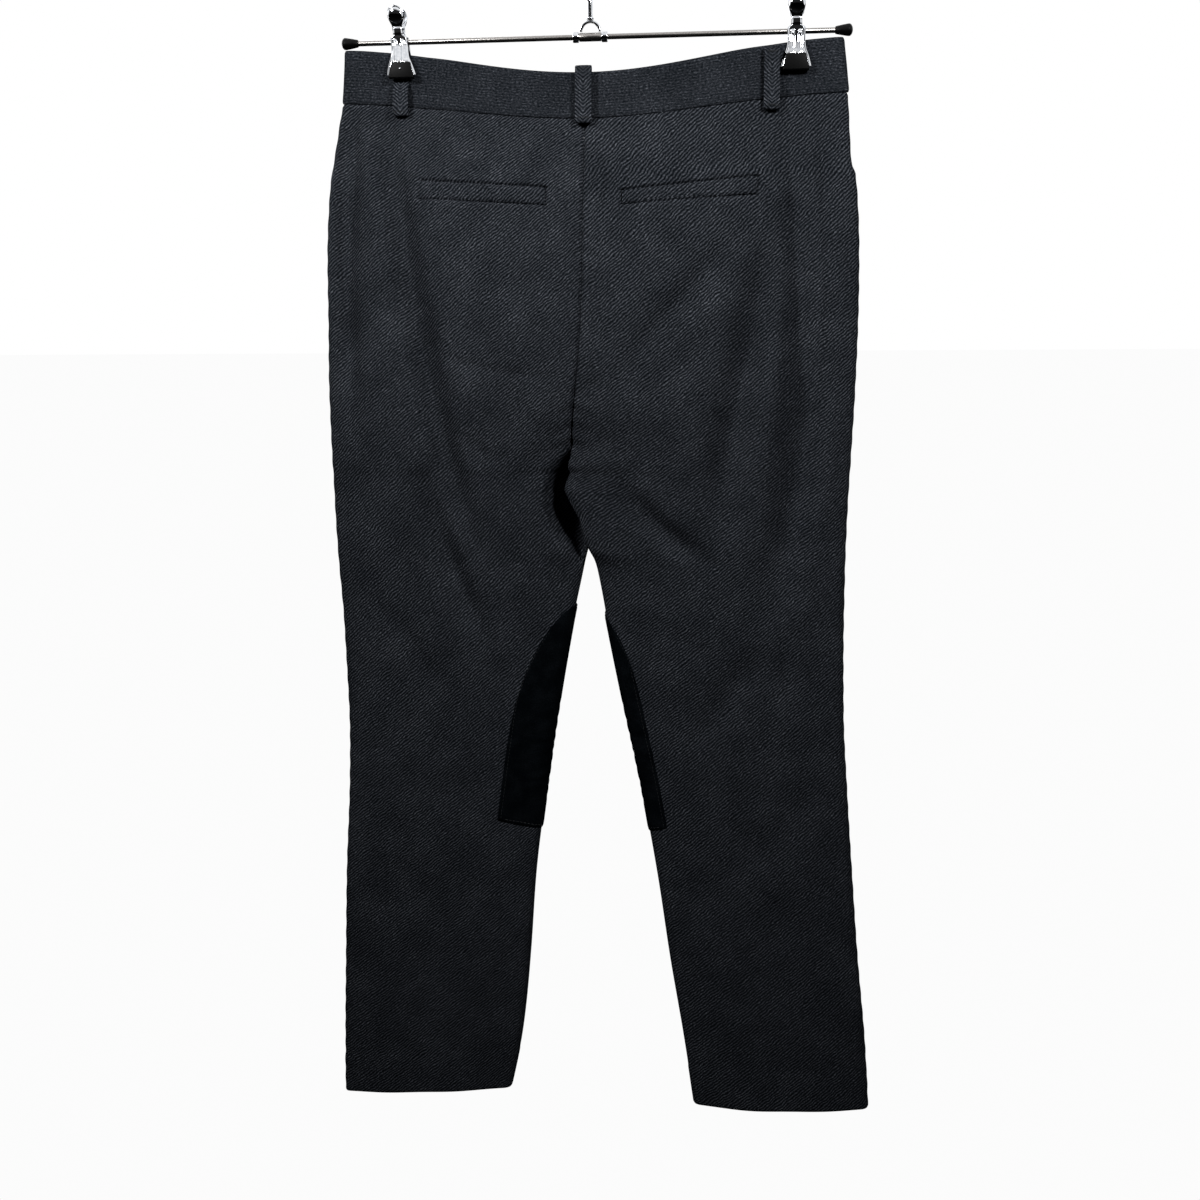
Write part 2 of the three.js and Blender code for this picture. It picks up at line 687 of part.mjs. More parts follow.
const collarX = ringSleeve.half + seamGap + ringSleeve.collarHalf;
const sleeves = table(
  ['name', 'x', 'half', 'outer'],
  [
    ['sleeve', stem.x, ringSleeve.half, ringSleeve.outer],
    ['collar_left', stem.x + collarX, ringSleeve.collarHalf, ringSleeve.collar],
    ['collar_right', stem.x - collarX, ringSleeve.collarHalf, ringSleeve.collar],
  ],
);
for (const piece of sleeves) {
  const mesh = addPart(piece.name, sleeveGeometry(piece.half, piece.outer), chrome);
  mesh.rotation.z = Math.PI / 2;
  mesh.position.set(piece.x, 0, barHeight);
}

// Wire of round section along a path that lies in the plane of the hanger.
function wire(path, radius, steps) {
  const round = new THREE.Shape().absarc(0, 0, radius, 0, 2 * Math.PI);
  return new THREE.ExtrudeGeometry(round, { steps, extrudePath: path, curveSegments: 5 });
}

class Arc extends THREE.Curve {
  constructor(x, z, radius, from, to) {
    super();
    Object.assign(this, { x, z, radius, from, to });
  }

  getPoint(t, target = new THREE.Vector3()) {
    const angle = mix(this.from, this.to, t);
    return target.set(this.x + this.radius * Math.cos(angle), 0, this.z + this.radius * Math.sin(angle));
  }
}

function hookPath() {
  const crown = hookRadius + stem.radius;
  const start = -0.6;
  const bow = new Arc(stem.x, -hookRadius, crown, start, Math.PI + 0.15);
  const joined = bow.getPoint(0);
  const tangent = new THREE.Vector3(-Math.sin(start), 0, Math.cos(start));
  const foot = new THREE.Vector3(stem.x, 0, ring.z + ring.radius + ring.wire + seamGap);
  const neck = new THREE.Vector3(stem.x, 0, -54);
  const path = new THREE.CurvePath();
  path.add(new THREE.LineCurve3(foot, neck));
  path.add(
    new THREE.CubicBezierCurve3(
      neck,
      neck.clone().add(new THREE.Vector3(0, 0, 9)),
      joined.clone().addScaledVector(tangent, -12),
      joined,
    ),
  );
  path.add(bow);
  return path;
}

addPart('hook', wire(hookPath(), stem.radius, 30), chrome);
addPart('hook_ring', wire(new Arc(stem.x, ring.z, ring.radius, 0, Math.PI), ring.wire, 12), chrome);

// ---- clips ---------------------------------------------------------------------------

// Outline and depth of one clip half, measured down from its top.
const clipShape = table(
  ['down', 'half', 'out'],
  [
    [0, 2.2, 8],
    [1.5, 5, 7.8],
    [4, 6.6, 7.4],
    [7.5, 7.1, 6.8],
    [11, 6.4, 6],
    [14, 4.6, 5.2],
    [16.5, 4.1, 4.5],
    [19, 5.6, 4.3],
    [22, 7, 4.2],
    [28, 7.2, 4.2],
    [34, 7.6, 4.6],
    [40, 8.8, 5.6],
    [45, 10.4, 6.6],
    [54.5, 12.2, 7],
  ],
);
const plate = { wall: 0.8, rib: 0.9, ribX: 3.3, ribWidth: 1.7, ribTop: 20, ribLow: 46, flange: 1.4 };

const clipRows = clipShape.map((row) => ({ ...row, z: -row.down }));
const clipRead = (column, down) => read(clipRows, column, -down);

// A pressed plate with two upright ribs and edges that turn towards the cloth.
function clipHalf(clip, face, back) {
  const length = clipShape[clipShape.length - 1].down;
  const layer = (out) =>
    grid(13, 8, (u, v) => {
      const down = v * length;
      const half = clipRead('half', down);
      const x = mix(-half, half, u);
      const { ribTop, ribLow } = plate;
      const ribs = smooth(ribTop, ribTop + 3, down) * (1 - smooth(ribLow - 3, ribLow, down));
      const bump = plate.rib * Math.exp(-(((Math.abs(x) - plate.ribX) / plate.ribWidth) ** 4));
      const turned = plate.flange * smooth(half - 1.6, half, Math.abs(x)) * smooth(14, 20, down);
      const y = clipRead('out', down) + back * smooth(28, 44, down) + ribs * bump - turned + out;
      const tilted = clip.tilt * (1 - v);
      return new THREE.Vector3(clip.x + x + tilted, faces[face] * y, clip.top - down);
    });
  return wall(layer(plate.wall), layer(0));
}

// A rubber boot folded round the plate's lower end.
const boot = { tall: 14, turn: 3, outer: 1.5 };

function bootGeometry(clip, face, back) {
  const clothFace = pinch.depth + seamGap + back;
  const plateIn = clipShape[clipShape.length - 1].out + back - seamGap - plate.flange;
  const plateOut = clipShape[clipShape.length - 1].out + back + plate.wall + seamGap;
  const low = clip.tipLow;
  const plateLow = clip.top - clipShape[clipShape.length - 1].down - seamGap;
  const outline = new THREE.Shape();
  outline.moveTo(clothFace, low);
  outline.lineTo(plateOut + boot.outer - 0.5, low);
  outline.lineTo(plateOut + boot.outer, low + 1.5);
  outline.lineTo(plateOut + boot.outer - 0.4, low + boot.tall);
  outline.lineTo(plateOut, low + boot.tall);
  outline.lineTo(plateOut, plateLow);
  outline.lineTo(plateIn, plateLow);
  outline.lineTo(plateIn, low + boot.tall - boot.turn);
  outline.lineTo(clothFace, low + boot.tall - boot.turn);
  const geometry = new THREE.ExtrudeGeometry(outline, { depth: 1, bevelEnabled: false });
  const p = geometry.getAttribute('position');
  for (let i = 0; i < p.count; i += 1) {
    const [y, z, along] = [p.getX(i), p.getY(i), p.getZ(i)];
    const half = clipRead('half', clip.top - z) - 1.3;
    p.setXYZ(i, clip.x + (2 * along - 1) * half, faces[face] * y, z);
  }
  if (face === 'front') flipFaces(geometry);
  geometry.computeVertexNormals();
  return geometry;
}

// Mirroring a loose-triangle geometry turns its faces in; this turns them back.
function flipFaces(geometry) {
  const p = geometry.getAttribute('position');
  for (let i = 0; i < p.count; i += 3) {
    const first = new THREE.Vector3().fromBufferAttribute(p, i);
    const second = new THREE.Vector3().fromBufferAttribute(p, i + 1);
    p.setXYZ(i, second.x, second.y, second.z);
    p.setXYZ(i + 1, first.x, first.y, first.z);
  }
}

for (const [side, clip] of Object.entries(clips)) {
  for (const face of Object.keys(faces)) {
    const back = clip.overLoop && face === 'back' ? loopWall + loopSeat : 0;
    addPart(`clip_${side}_${face}`, clipHalf(clip, face, back), chrome);
    addPart(`boot_${side}_${face}`, bootGeometry(clip, face, back), rubber);
  }
}

export default group;
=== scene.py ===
import math
import bpy
import bmesh
import numpy as np
from mathutils import Matrix, Quaternion, Vector


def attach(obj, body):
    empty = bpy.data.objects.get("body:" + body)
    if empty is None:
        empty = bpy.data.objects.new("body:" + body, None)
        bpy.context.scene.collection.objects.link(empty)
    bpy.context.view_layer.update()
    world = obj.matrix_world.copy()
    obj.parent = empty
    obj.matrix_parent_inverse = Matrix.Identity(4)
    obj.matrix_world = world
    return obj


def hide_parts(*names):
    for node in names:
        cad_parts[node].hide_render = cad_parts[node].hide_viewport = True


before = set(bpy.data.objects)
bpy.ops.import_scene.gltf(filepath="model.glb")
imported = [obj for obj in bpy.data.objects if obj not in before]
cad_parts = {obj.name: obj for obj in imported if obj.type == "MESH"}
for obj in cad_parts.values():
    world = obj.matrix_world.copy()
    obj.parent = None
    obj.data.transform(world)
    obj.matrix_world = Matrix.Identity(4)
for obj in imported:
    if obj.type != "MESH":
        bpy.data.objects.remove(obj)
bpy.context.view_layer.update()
mm = 0.001

# Slim dress trousers seen from the back, clipped by the waistband to a bar hanger.
# +X is the wearer's left, +Y the wearer's back, +Z up. Sizes are in millimetres.

# camera, light and floor

view = {
    "target": (-6, -0.7, -549),
    "azimuth": 6.5,
    "elevation": 12,
    "distance": 1320,
    "roll": -0.6,
    "lens": 45,
}


def makeCamera():
    azimuth, elevation = math.radians(view["azimuth"]), math.radians(view["elevation"])
    level = math.cos(elevation)
    towards = Vector((-math.sin(azimuth) * level, math.cos(azimuth) * level, math.sin(elevation)))
    data = bpy.data.cameras.new("camera")
    data.lens = view["lens"]
    data.sensor_width = 36
    data.clip_end = 200
    camera = bpy.data.objects.new("camera", data)
    bpy.context.scene.collection.objects.link(camera)
    camera.location = (Vector(view["target"]) + towards * view["distance"]) * mm
    roll = Quaternion((0, 0, 1), math.radians(view["roll"]))
    camera.rotation_mode = "QUATERNION"
    camera.rotation_quaternion = towards.to_track_quat("Z", "Y") @ roll
    bpy.context.scene.camera = camera


def linear(code):
    parts = [int(code[i:i + 2], 16) / 255 for i in (1, 3, 5)]
    return [c / 12.92 if c <= 0.04045 else ((c + 0.055) / 1.055) ** 2.4 for c in parts] + [1]


# Adds a node, sets its properties and socket values, and links its inputs.
def addNode(tree, kind, values=None, links=None, **settings):
    node = tree.nodes.new(kind)
    for name, value in settings.items():
        setattr(node, name, value)
    for socket, value in (values or {}).items():
        node.inputs[socket].default_value = value
    for socket, source in (links or {}).items():
        tree.links.new(source, node.inputs[socket])
    return node


studio = {
    "keyPlace": (540, 700, 230), "keyAim": (-60, 0, -110), "keySize": 200, "keyPower": 4.3,
    "sidePlace": (-520, 700, 230), "sideAim": (60, 0, -110), "sideSize": 200, "sidePower": 3.9,
    "fillPlace": (900, -1100, 300), "fillAim": (0, 0, -550), "fillSize": 1400, "fillPower": 14,
    "skyCloth": 0.006, "skyCamera": 1.0, "paper": 1.1, "dark": 0.02,
    "floorLevel": -1250, "floorSize": 40000,
}


def makeLight(name, place, aim, size, power, colour):
    data = bpy.data.lights.new(name, "AREA")
    data.shape = "DISK"
    data.size = size * mm
    data.energy = power
    data.color = linear(colour)[:3]
    lamp = bpy.data.objects.new(name, data)
    bpy.context.scene.collection.objects.link(lamp)
    lamp.location = Vector(place) * mm
    lamp.rotation_mode = "QUATERNION"
    lamp.rotation_quaternion = (Vector(place) - Vector(aim)).to_track_quat("Z", "Y")
    lamp.visible_camera = False


def makeSky():
    world = bpy.data.worlds.new("studio")
    bpy.context.scene.world = world
    world.use_nodes = True
    tree = world.node_tree
    tree.nodes.clear()
    path = addNode(tree, "ShaderNodeLightPath")
    place = addNode(tree, "ShaderNodeTexCoord")
    parts = addNode(tree, "ShaderNodeSeparateXYZ", links={0: place.outputs["Generated"]})
    # white paper all round for polished metal to reflect, dark only on the camera's side
    front = addNode(tree, "ShaderNodeMapRange", {
        "From Min": 0.25, "From Max": 0.6, "To Min": studio["paper"], "To Max": studio["dark"]},
        {"Value": parts.outputs["Y"]})
    above = addNode(tree, "ShaderNodeMapRange", {
        "From Min": 0.35, "From Max": 0.6, "To Min": 0.0, "To Max": studio["paper"]},
        {"Value": parts.outputs["Z"]})
    bands = addNode(tree, "ShaderNodeMath", links={0: front.outputs[0], 1: above.outputs[0]},
        operation="MAXIMUM")
    gloss = addNode(tree, "ShaderNodeBackground", {"Color": (1, 1, 1, 1)}, {"Strength": bands.outputs[0]})
    cloth = addNode(tree, "ShaderNodeBackground", {"Color": (1, 1, 1, 1), "Strength": studio["skyCloth"]})
    seen = addNode(tree, "ShaderNodeBackground", {"Color": (1, 1, 1, 1), "Strength": studio["skyCamera"]})
    first = addNode(tree, "ShaderNodeMixShader", links={
        0: path.outputs["Is Glossy Ray"], 1: cloth.outputs[0], 2: gloss.outputs[0]})
    second = addNode(tree, "ShaderNodeMixShader", links={
        0: path.outputs["Is Camera Ray"], 1: first.outputs[0], 2: seen.outputs[0]})
    addNode(tree, "ShaderNodeOutputWorld", links={0: second.outputs[0]})


def makeFloor():
    grid = bmesh.new()
    bmesh.ops.create_grid(grid, x_segments=1, y_segments=1, size=studio["floorSize"] * mm / 2)
    bmesh.ops.translate(grid, verts=grid.verts, vec=(0, 0, studio["floorLevel"] * mm))
    mesh = bpy.data.meshes.new("floor")
    grid.to_mesh(mesh)
    grid.free()
    floor = bpy.data.objects.new("floor", mesh)
    bpy.context.scene.collection.objects.link(floor)
    paint = bpy.data.materials.new("matt white studio floor")
    paint.use_nodes = True
    tree = paint.node_tree
    tree.nodes.clear()
    path = addNode(tree, "ShaderNodeLightPath")
    glow = addNode(tree, "ShaderNodeEmission", {"Color": (1, 1, 1, 1), "Strength": 0.97})
    matt = addNode(tree, "ShaderNodeBsdfDiffuse", {"Color": (0.03, 0.03, 0.03, 1)})
    both = addNode(tree, "ShaderNodeMixShader", links={
        0: path.outputs["Is Camera Ray"], 1: matt.outputs[0], 2: glow.outputs[0]})
    addNode(tree, "ShaderNodeOutputMaterial", links={0: both.outputs[0]})
    mesh.materials.append(paint)


makeCamera()
for name in ("key", "side", "fill"):
    makeLight(name, *(studio[name + part] for part in ("Place", "Aim", "Size", "Power")), "#ffffff")
makeSky()
makeFloor()
bpy.context.scene.view_settings.view_transform = "Standard"
print("camera, lights and floor set")

# materials


def newMaterial(name, **fixed):
    paint = bpy.data.materials.new(name)
    paint.use_nodes = True
    tree = paint.node_tree
    tree.nodes.clear()
    skin = addNode(tree, "ShaderNodeBsdfPrincipled", fixed)
    addNode(tree, "ShaderNodeOutputMaterial", links={0: skin.outputs[0]})
    return paint, tree, skin


def addRamp(tree, source, stops):
    ramp = addNode(tree, "ShaderNodeValToRGB", links={0: source})
    for i, (place, code) in enumerate(stops):
        stop = ramp.color_ramp.elements[i] if i < 2 else ramp.color_ramp.elements.new(place)
        stop.position = place
        stop.color = linear(code)
    return ramp


# Charcoal melange wool in a steep twill: matte, with fine slanting ribs and pale and dark
# flecks where dyed and undyed fibres are spun together. The real rib is 2 mm apart; it is
# drawn at 2.3 mm, the finest that still shows.
def woolTwill(name, turn=-130.0, rib=2.3, ribShare=0.34):
    paint, tree, skin = newMaterial(name, **{
        "Roughness": 0.95, "Specular IOR Level": 0.0})
    place = addNode(tree, "ShaderNodeUVMap", uv_map="weave")
    turned = addNode(tree, "ShaderNodeMapping", {
        "Scale": (1000, 1000, 1000), "Rotation": (0, 0, math.radians(turn))},
        {"Vector": place.outputs[0]})
    # yarns wander by a fraction of a rib
    sway = addNode(tree, "ShaderNodeTexNoise", {"Scale": 0.12, "Detail": 3.0}, {"Vector": turned.outputs[0]})
    shifted = addNode(tree, "ShaderNodeVectorMath", {1: (4, 4, 0)}, {
        0: sway.outputs["Color"], 2: turned.outputs[0]}, operation="MULTIPLY_ADD")
    ribs = addNode(tree, "ShaderNodeTexWave", {"Scale": math.pi / 10 / rib, "Distortion": 0.0},
        {"Vector": shifted.outputs[0]}, wave_type="BANDS", bands_direction="X")
    # each pale fleck is one float of yarn lying along the rib
    stretched = addNode(tree, "ShaderNodeMapping", {"Scale": (1 / 1.1, 1 / 2.0, 1)},
        {"Vector": shifted.outputs[0]})
    flecks = addNode(tree, "ShaderNodeTexNoise", {"Scale": 1.0, "Detail": 2.0, "Roughness": 0.7},
        {"Vector": stretched.outputs[0]})
    patchy = addNode(tree, "ShaderNodeTexNoise", {"Scale": 0.03, "Detail": 3.0},
        {"Vector": turned.outputs[0]})
    ribPart = addNode(tree, "ShaderNodeMath", {1: ribShare}, {0: ribs.outputs["Fac"]}, operation="MULTIPLY")
    # flecks are stronger in some places than in others, as ribs are
    fleckPart = addNode(tree, "ShaderNodeMath", {1: 1 - ribShare}, {
        0: flecks.outputs[0], 2: ribPart.outputs[0]}, operation="MULTIPLY_ADD")
    tone = addNode(tree, "ShaderNodeMath", {1: 0.16}, {
        0: patchy.outputs[0], 2: fleckPart.outputs[0]}, operation="MULTIPLY_ADD")
    colour = addRamp(tree, tone.outputs[0], (
        (0.34, "#101317"), (0.5, "#23272c"), (0.66, "#3c3f45"), (0.78, "#5e626a"), (0.9, "#90959d")))
    bump = addNode(tree, "ShaderNodeBump", {"Strength": 0.6, "Distance": 0.3 * mm},
        {"Height": fleckPart.outputs[0]})
    tree.links.new(colour.outputs[0], skin.inputs["Base Color"])
    tree.links.new(bump.outputs[0], skin.inputs["Normal"])
    return paint


# Dyed goat suede: near black and matte, its short nap brushed in small clouds.
def napSuede(name):
    paint, tree, skin = newMaterial(name, **{
        "Roughness": 0.97, "Specular IOR Level": 0.0})
    place = addNode(tree, "ShaderNodeUVMap", uv_map="weave")
    sized = addNode(tree, "ShaderNodeMapping", {"Scale": (1000, 1000, 1000)}, {"Vector": place.outputs[0]})
    nap = addNode(tree, "ShaderNodeTexNoise", {"Scale": 0.9, "Detail": 3.0}, {"Vector": sized.outputs[0]})
    clouds = addNode(tree, "ShaderNodeTexNoise", {"Scale": 0.07, "Detail": 3.0}, {"Vector": sized.outputs[0]})
    both = addNode(tree, "ShaderNodeMath", {1: 0.7}, {
        0: clouds.outputs[0], 2: nap.outputs[0]}, operation="MULTIPLY_ADD")
    colour = addRamp(tree, both.outputs[0], ((0.55, "#04060a"), (0.85, "#0d1115"), (1.0, "#181c20")))
    bump = addNode(tree, "ShaderNodeBump", {"Strength": 0.5, "Distance": 0.3 * mm},
        {"Height": nap.outputs[0]})
    tree.links.new(colour.outputs[0], skin.inputs["Base Color"])
    tree.links.new(bump.outputs[0], skin.inputs["Normal"])
    return paint


# Plain finishes on Object coordinates: a colour between two tones, with fine unevenness.
def plainFinish(name, dark, light, roughness, metallic=0.0, grain=0.6, relief=0.05, **fixed):
    paint, tree, skin = newMaterial(name, **{"Roughness": roughness, "Metallic": metallic, **fixed})
    place = addNode(tree, "ShaderNodeTexCoord")
    sized = addNode(tree, "ShaderNodeMapping", {"Scale": (1000, 1000, 1000)},
        {"Vector": place.outputs["Object"]})
    uneven = addNode(tree, "ShaderNodeTexNoise", {"Scale": grain, "Detail": 3.0},
        {"Vector": sized.outputs[0]})
    colour = addRamp(tree, uneven.outputs[0], ((0.35, dark), (0.65, light)))
    bump = addNode(tree, "ShaderNodeBump", {"Strength": 0.3, "Distance": relief * mm},
        {"Height": uneven.outputs[0]})
    tree.links.new(colour.outputs[0], skin.inputs["Base Color"])
    tree.links.new(bump.outputs[0], skin.inputs["Normal"])
    return paint


twill = woolTwill("charcoal melange wool twill")
crossTwill = woolTwill("charcoal melange wool twill, cut across", turn=90.0, ribShare=0.1)
loopTwill = woolTwill("charcoal melange wool twill, loop strip", ribShare=0.3)
suede = napSuede("black goat suede")
# polyester thread, a little shinier than the wool
thread = plainFinish("black spun polyester thread", "#08090b", "#15171a", 0.6, grain=3.0)
# real horn: dark brown-black with soft streaks and a waxy shine
horn = plainFinish("polished dark horn", "#0d0b0a", "#2a211c", 0.28, grain=0.25)
# nickel-chrome plate on pressed steel: a mirror with faint ripples
chrome = plainFinish("bright nickel-chrome plate", "#c9ccd1", "#dfe1e4", 0.07, 1.0, grain=0.4, relief=0.02)
# drawn steel rod under thin plate: greyer and softer than the pressed clips
rod = plainFinish("satin drawn steel rod", "#8d8a87", "#a8a5a2", 0.27, 1.0, grain=0.9)
# dipped PVC: black, a low shine with tiny pits
rubber = plainFinish("moulded black soft PVC", "#020202", "#060607", 0.45, grain=1.4, relief=0.06,
    **{"Specular IOR Level": 0.12})
tape = plainFinish("woven black zip tape", "#07080a", "#121316", 0.85, grain=1.8, relief=0.1)
print("materials ready")

# the cloth's form

seamGap = 0.3
topHeight, waistHeight, hemHeight = -85.4, -128.1, -1036.0
sides = {"left": 1, "right": -1}
faces = {"back": 1, "front": -1}
outerSquare = 2.5
halfWidth = 225  # of the hips, which turns a share of the section into a distance

# The form at each height: side seams and centre seam or inseams measured from the middle,
# how far the section runs on past the middle, half depths, squareness, edge radius and lean.
formNames = "z outLeft outRight inLeft inRight reach back front square edge lean".split()
form = dict(zip(formNames, np.array([
    (-84, 202.2, 207.2, 1, -1, 1, 11, 12, 2.5, 4, 0),
    (-110, 204.5, 210.6, 1, -1, 1, 12.5, 14, 2.5, 4, 0),
    (-128, 206.6, 212.3, 1, -1, 1, 14, 16, 2.5, 4, 0),
    (-146, 210.4, 213.4, 1, -1, 1, 17, 18, 2.5, 4, 0),
    (-184, 218.2, 216.2, 1, -1, 1, 26, 22, 2.5, 5, 0),
    (-192, 219.8, 219.5, 1.2, -1.2, 1, 28, 22.5, 2.5, 5, 0),
    (-250, 224.9, 223.3, 2, -2, 1, 35, 25, 2.5, 6, 0),
    (-305, 226.8, 224, 2.5, -2.5, 0.88, 38, 27, 2.5, 6, 1),
    (-370, 229.1, 223.3, 4.5, -4.5, 0.4, 37, 28, 2.7, 6, 5),
    (-400, 229.1, 222.5, 6, -6, 0.19, 34.5, 27.5, 3.1, 6, 9),
    (-418, 228.9, 221.9, 7.2, -7.2, 0.085, 32.5, 27, 3.5, 6, 11.5),
    (-428, 228.8, 221.6, 7.7, -7.7, 0.035, 31.3, 26.5, 3.8, 6, 13),
    (-436, 228.5, 221.2, 8, -8, 0, 30, 25.8, 4, 6, 14),
    (-475, 228, 219.8, 6, -3.2, 0, 26.5, 23.8, 3.9, 6.5, 14),
    (-500, 227.4, 219.1, 4.4, -0.6, 0, 24, 22, 3.7, 7, 10),
    (-515, 227, 218.8, 7.1, 3.2, 0, 22.5, 21, 3.5, 7, 6),
    (-570, 225, 218.4, 18.4, 12.8, 0, 20, 18.5, 3, 7, 0),
    (-645, 224.8, 219.9, 32, 27.2, 0, 17.5, 16.5, 2.5, 7, 0),
    (-720, 227.4, 225.2, 43.6, 42.4, 0, 16, 15.5, 2.5, 7, 0),
    (-800, 232.9, 232, 54.4, 55.4, 0, 15.5, 15, 2.5, 7, 0),
    (-880, 237.6, 238.8, 61.4, 66.4, 0, 15, 14.5, 2.5, 7, 0),
    (-960, 242.3, 246.8, 70.8, 79.6, 0, 15, 14.5, 2.5, 7, 0),
    (-1036, 245.8, 252.6, 85, 90.5, 0, 16, 15.5, 2.5, 7, 0),
], dtype=float).T))


def table(names, rows):
    return [dict(zip(names.split(), row)) for row in rows]


# Folds are troughs pressed in along a bowed line; a negative depth stands out as a ridge.
foldNames = "topX topZ lowX lowZ bow depth width"
folds = {
    "back": table(foldNames, (
        (196, -108, 207, -410, -4, 13, 9), (174, -108, 96, -515, -7, 18, 12),
        (141, -424, 90, -596, -8, 11, 12), (-163, -76, -160, -565, 20, 25, 17),
        (-158, -212, -112, -505, -4, 17, 16), (-138, -224, -26, -360, -3, 6, 11),
        (-24, -180, -13, -230, 0, 3.5, 4),
        (-30, -440, -114, -518, -6, 7, 10), (-148, -584, -88, -684, 0, 5, 13),
    )),
    "front": table(foldNames, (
        (168, -112, 186, -360, 5, 6, 13), (148, -260, 60, -440, 8, 6, 14),
        (-174, -108, -184, -400, -5, 7, 13), (-150, -250, -52, -446, -8, 6, 14),
        (40, -455, 110, -540, 6, 4, 12), (-40, -450, -118, -548, -6, 4, 12),
    )),
}

# Smaller and sharper creases lie over the main folds.
creases = {
    "back": table(foldNames, (
        (205, -298, 198, -372, 2, 1.6, 4), (148, -322, 12, -352, -9, 1.8, 4),
        (196, -540, 136, -634, 4, 2.4, 9), (-21, -352, 4, -366, 0, 1.2, 4),
        (-25, -446, -104, -516, -8, 1.5, 5), (-171, -548, -166, -656, 0, 2.0, 8),
        (-34, -178, -24, -226, 0, -1.8, 4), (166, -262, 158, -330, 0, 2.4, 6),
        (60, -428, 112, -392, 5, 2.4, 9), (-56, -560, -112, -610, 0, 1.6, 8),
        (120, -700, 168, -760, 4, 1.4, 12), (-110, -740, -170, -800, 3, 1.4, 12),
        (188, -770, 150, -860, 0, 1.2, 13), (-200, -690, -168, -770, 0, 1.2, 11),
        (52, -410, 30, -300, 6, 1.8, 10), (-24, -404, -60, -350, -4, -2.2, 14),
    )),
    "front": table(foldNames, (
        (150, -262, 92, -400, 5, 1.6, 5), (-150, -252, -96, -380, -5, 1.6, 5),
        (120, -590, 170, -660, 3, 1.2, 10), (-116, -600, -172, -676, -3, 1.2, 10),
        (176, -720, 130, -800, 2, 1.0, 12), (-180, -735, -140, -812, -2, 1.0, 12),
    )),
}

clips = {
    "left": {"x": 153, "top": -52, "tipLow": -109.5, "tilt": 4.5, "overLoop": True},
    "right": {"x": -169.6, "top": -53, "tipLow": -110.5, "tilt": 0, "overLoop": False},
}
pinch = {"depth": 2.55, "flat": 16.5, "spread": 18, "low": -120, "slope": 0.16, "end": -330}


def mix(a, b, t):
    return a + (b - a) * t


def smooth(start, end, v):
    t = np.clip((v - start) / (end - start), 0, 1)
    return t * t * (3 - 2 * t)


def bell(distance, width):
    return np.exp(-(distance / width) ** 2)


# A column's value at a height, on a curve that never swings past its rows.
def readColumn(down, values, goal):
    steep = np.diff(values) / np.diff(down)
    before, after = steep[:-1], steep[1:]
    same = before * after > 0
    slopes = np.zeros(len(values))
    slopes[0], slopes[-1] = steep[0], steep[-1]
    slopes[1:-1][same] = 2 * before[same] * after[same] / (before[same] + after[same])
    goal = np.clip(goal, down[0], down[-1])
    i = np.clip(np.searchsorted(down, goal, side="right") - 1, 0, len(down) - 2)
    span = down[i + 1] - down[i]
    t = (goal - down[i]) / span
    early = t * (1 - t) ** 2 * span * slopes[i]
    late = t * t * (t - 1) * span * slopes[i + 1]
    return mix(values[i], values[i + 1], t * t * (3 - 2 * t)) + early + late


def read(column, z):
    return readColumn(-form["z"], form[column], -np.asarray(z, dtype=float))


# Half depth of a section at x, measured from the middle towards that side.
def sectionDepth(side, face, x, z):
    out = read("out" + side.capitalize(), z)
    inner = read("in" + side.capitalize(), z) + seamGap / 2
    edge = read("edge", z)
    farEnd = inner - read("reach", z) * (out - inner)
    middle, half = (out + farEnd) / 2, (out - farEnd) / 2
    offset = np.abs(x - middle)
    fromEnd = np.clip((half - offset) / edge, 0, 1)
    power = np.where(x < middle, read("square", z), outerSquare)
    crown = (read(face, z) - edge) * (1 - np.minimum(1, offset / half) ** power)
    return edge * np.sqrt(1 - (1 - fromEnd) ** 2) + crown, (out - x) / (out - inner)


# The point a given share of the way round a section, from the side seam inwards.
def sectionAt(side, face, share, z):
    share, z = np.broadcast_arrays(share, z)
    shape, rows, level = share.shape, np.arange(share.size), z.ravel()[:, None]
    out = read("out" + side.capitalize(), level)
    inner = read("in" + side.capitalize(), level) + seamGap / 2
    x = mix(out, inner, (1 - np.cos(np.pi * np.linspace(0, 1, 97))) / 2)
    depth, inward = sectionDepth(side, face, x, level)
    run = np.cumsum(np.hypot(np.diff(x), np.diff(depth)), axis=1)
    run = np.hstack((np.zeros((len(rows), 1)), run))
    goal = np.clip(share.ravel(), 0, 1) * run[:, -1]
    i = np.clip((run < goal[:, None]).sum(axis=1), 1, 96)
    t = (goal - run[rows, i - 1]) / (run[rows, i] - run[rows, i - 1])
    at = [mix(part[rows, i - 1], part[rows, i], t).reshape(shape) for part in (x, depth, inward)]
    return (*at, goal.reshape(shape), run[:, -1].reshape(shape))


# Half depth after the clips have pressed the waist together.
def pinched(depth, x, z):
    for clip in clips.values():
        away = np.maximum(0, np.abs(x - clip["x"]) - pinch["flat"]) / pinch["spread"]
        strength = np.exp(-away * away) * smooth(pinch["end"], pinch["low"], z)
        pressed = pinch["depth"] + np.maximum(0, pinch["low"] - z) * pinch["slope"]
        depth = mix(depth, np.minimum(depth, pressed), strength)
    return depth


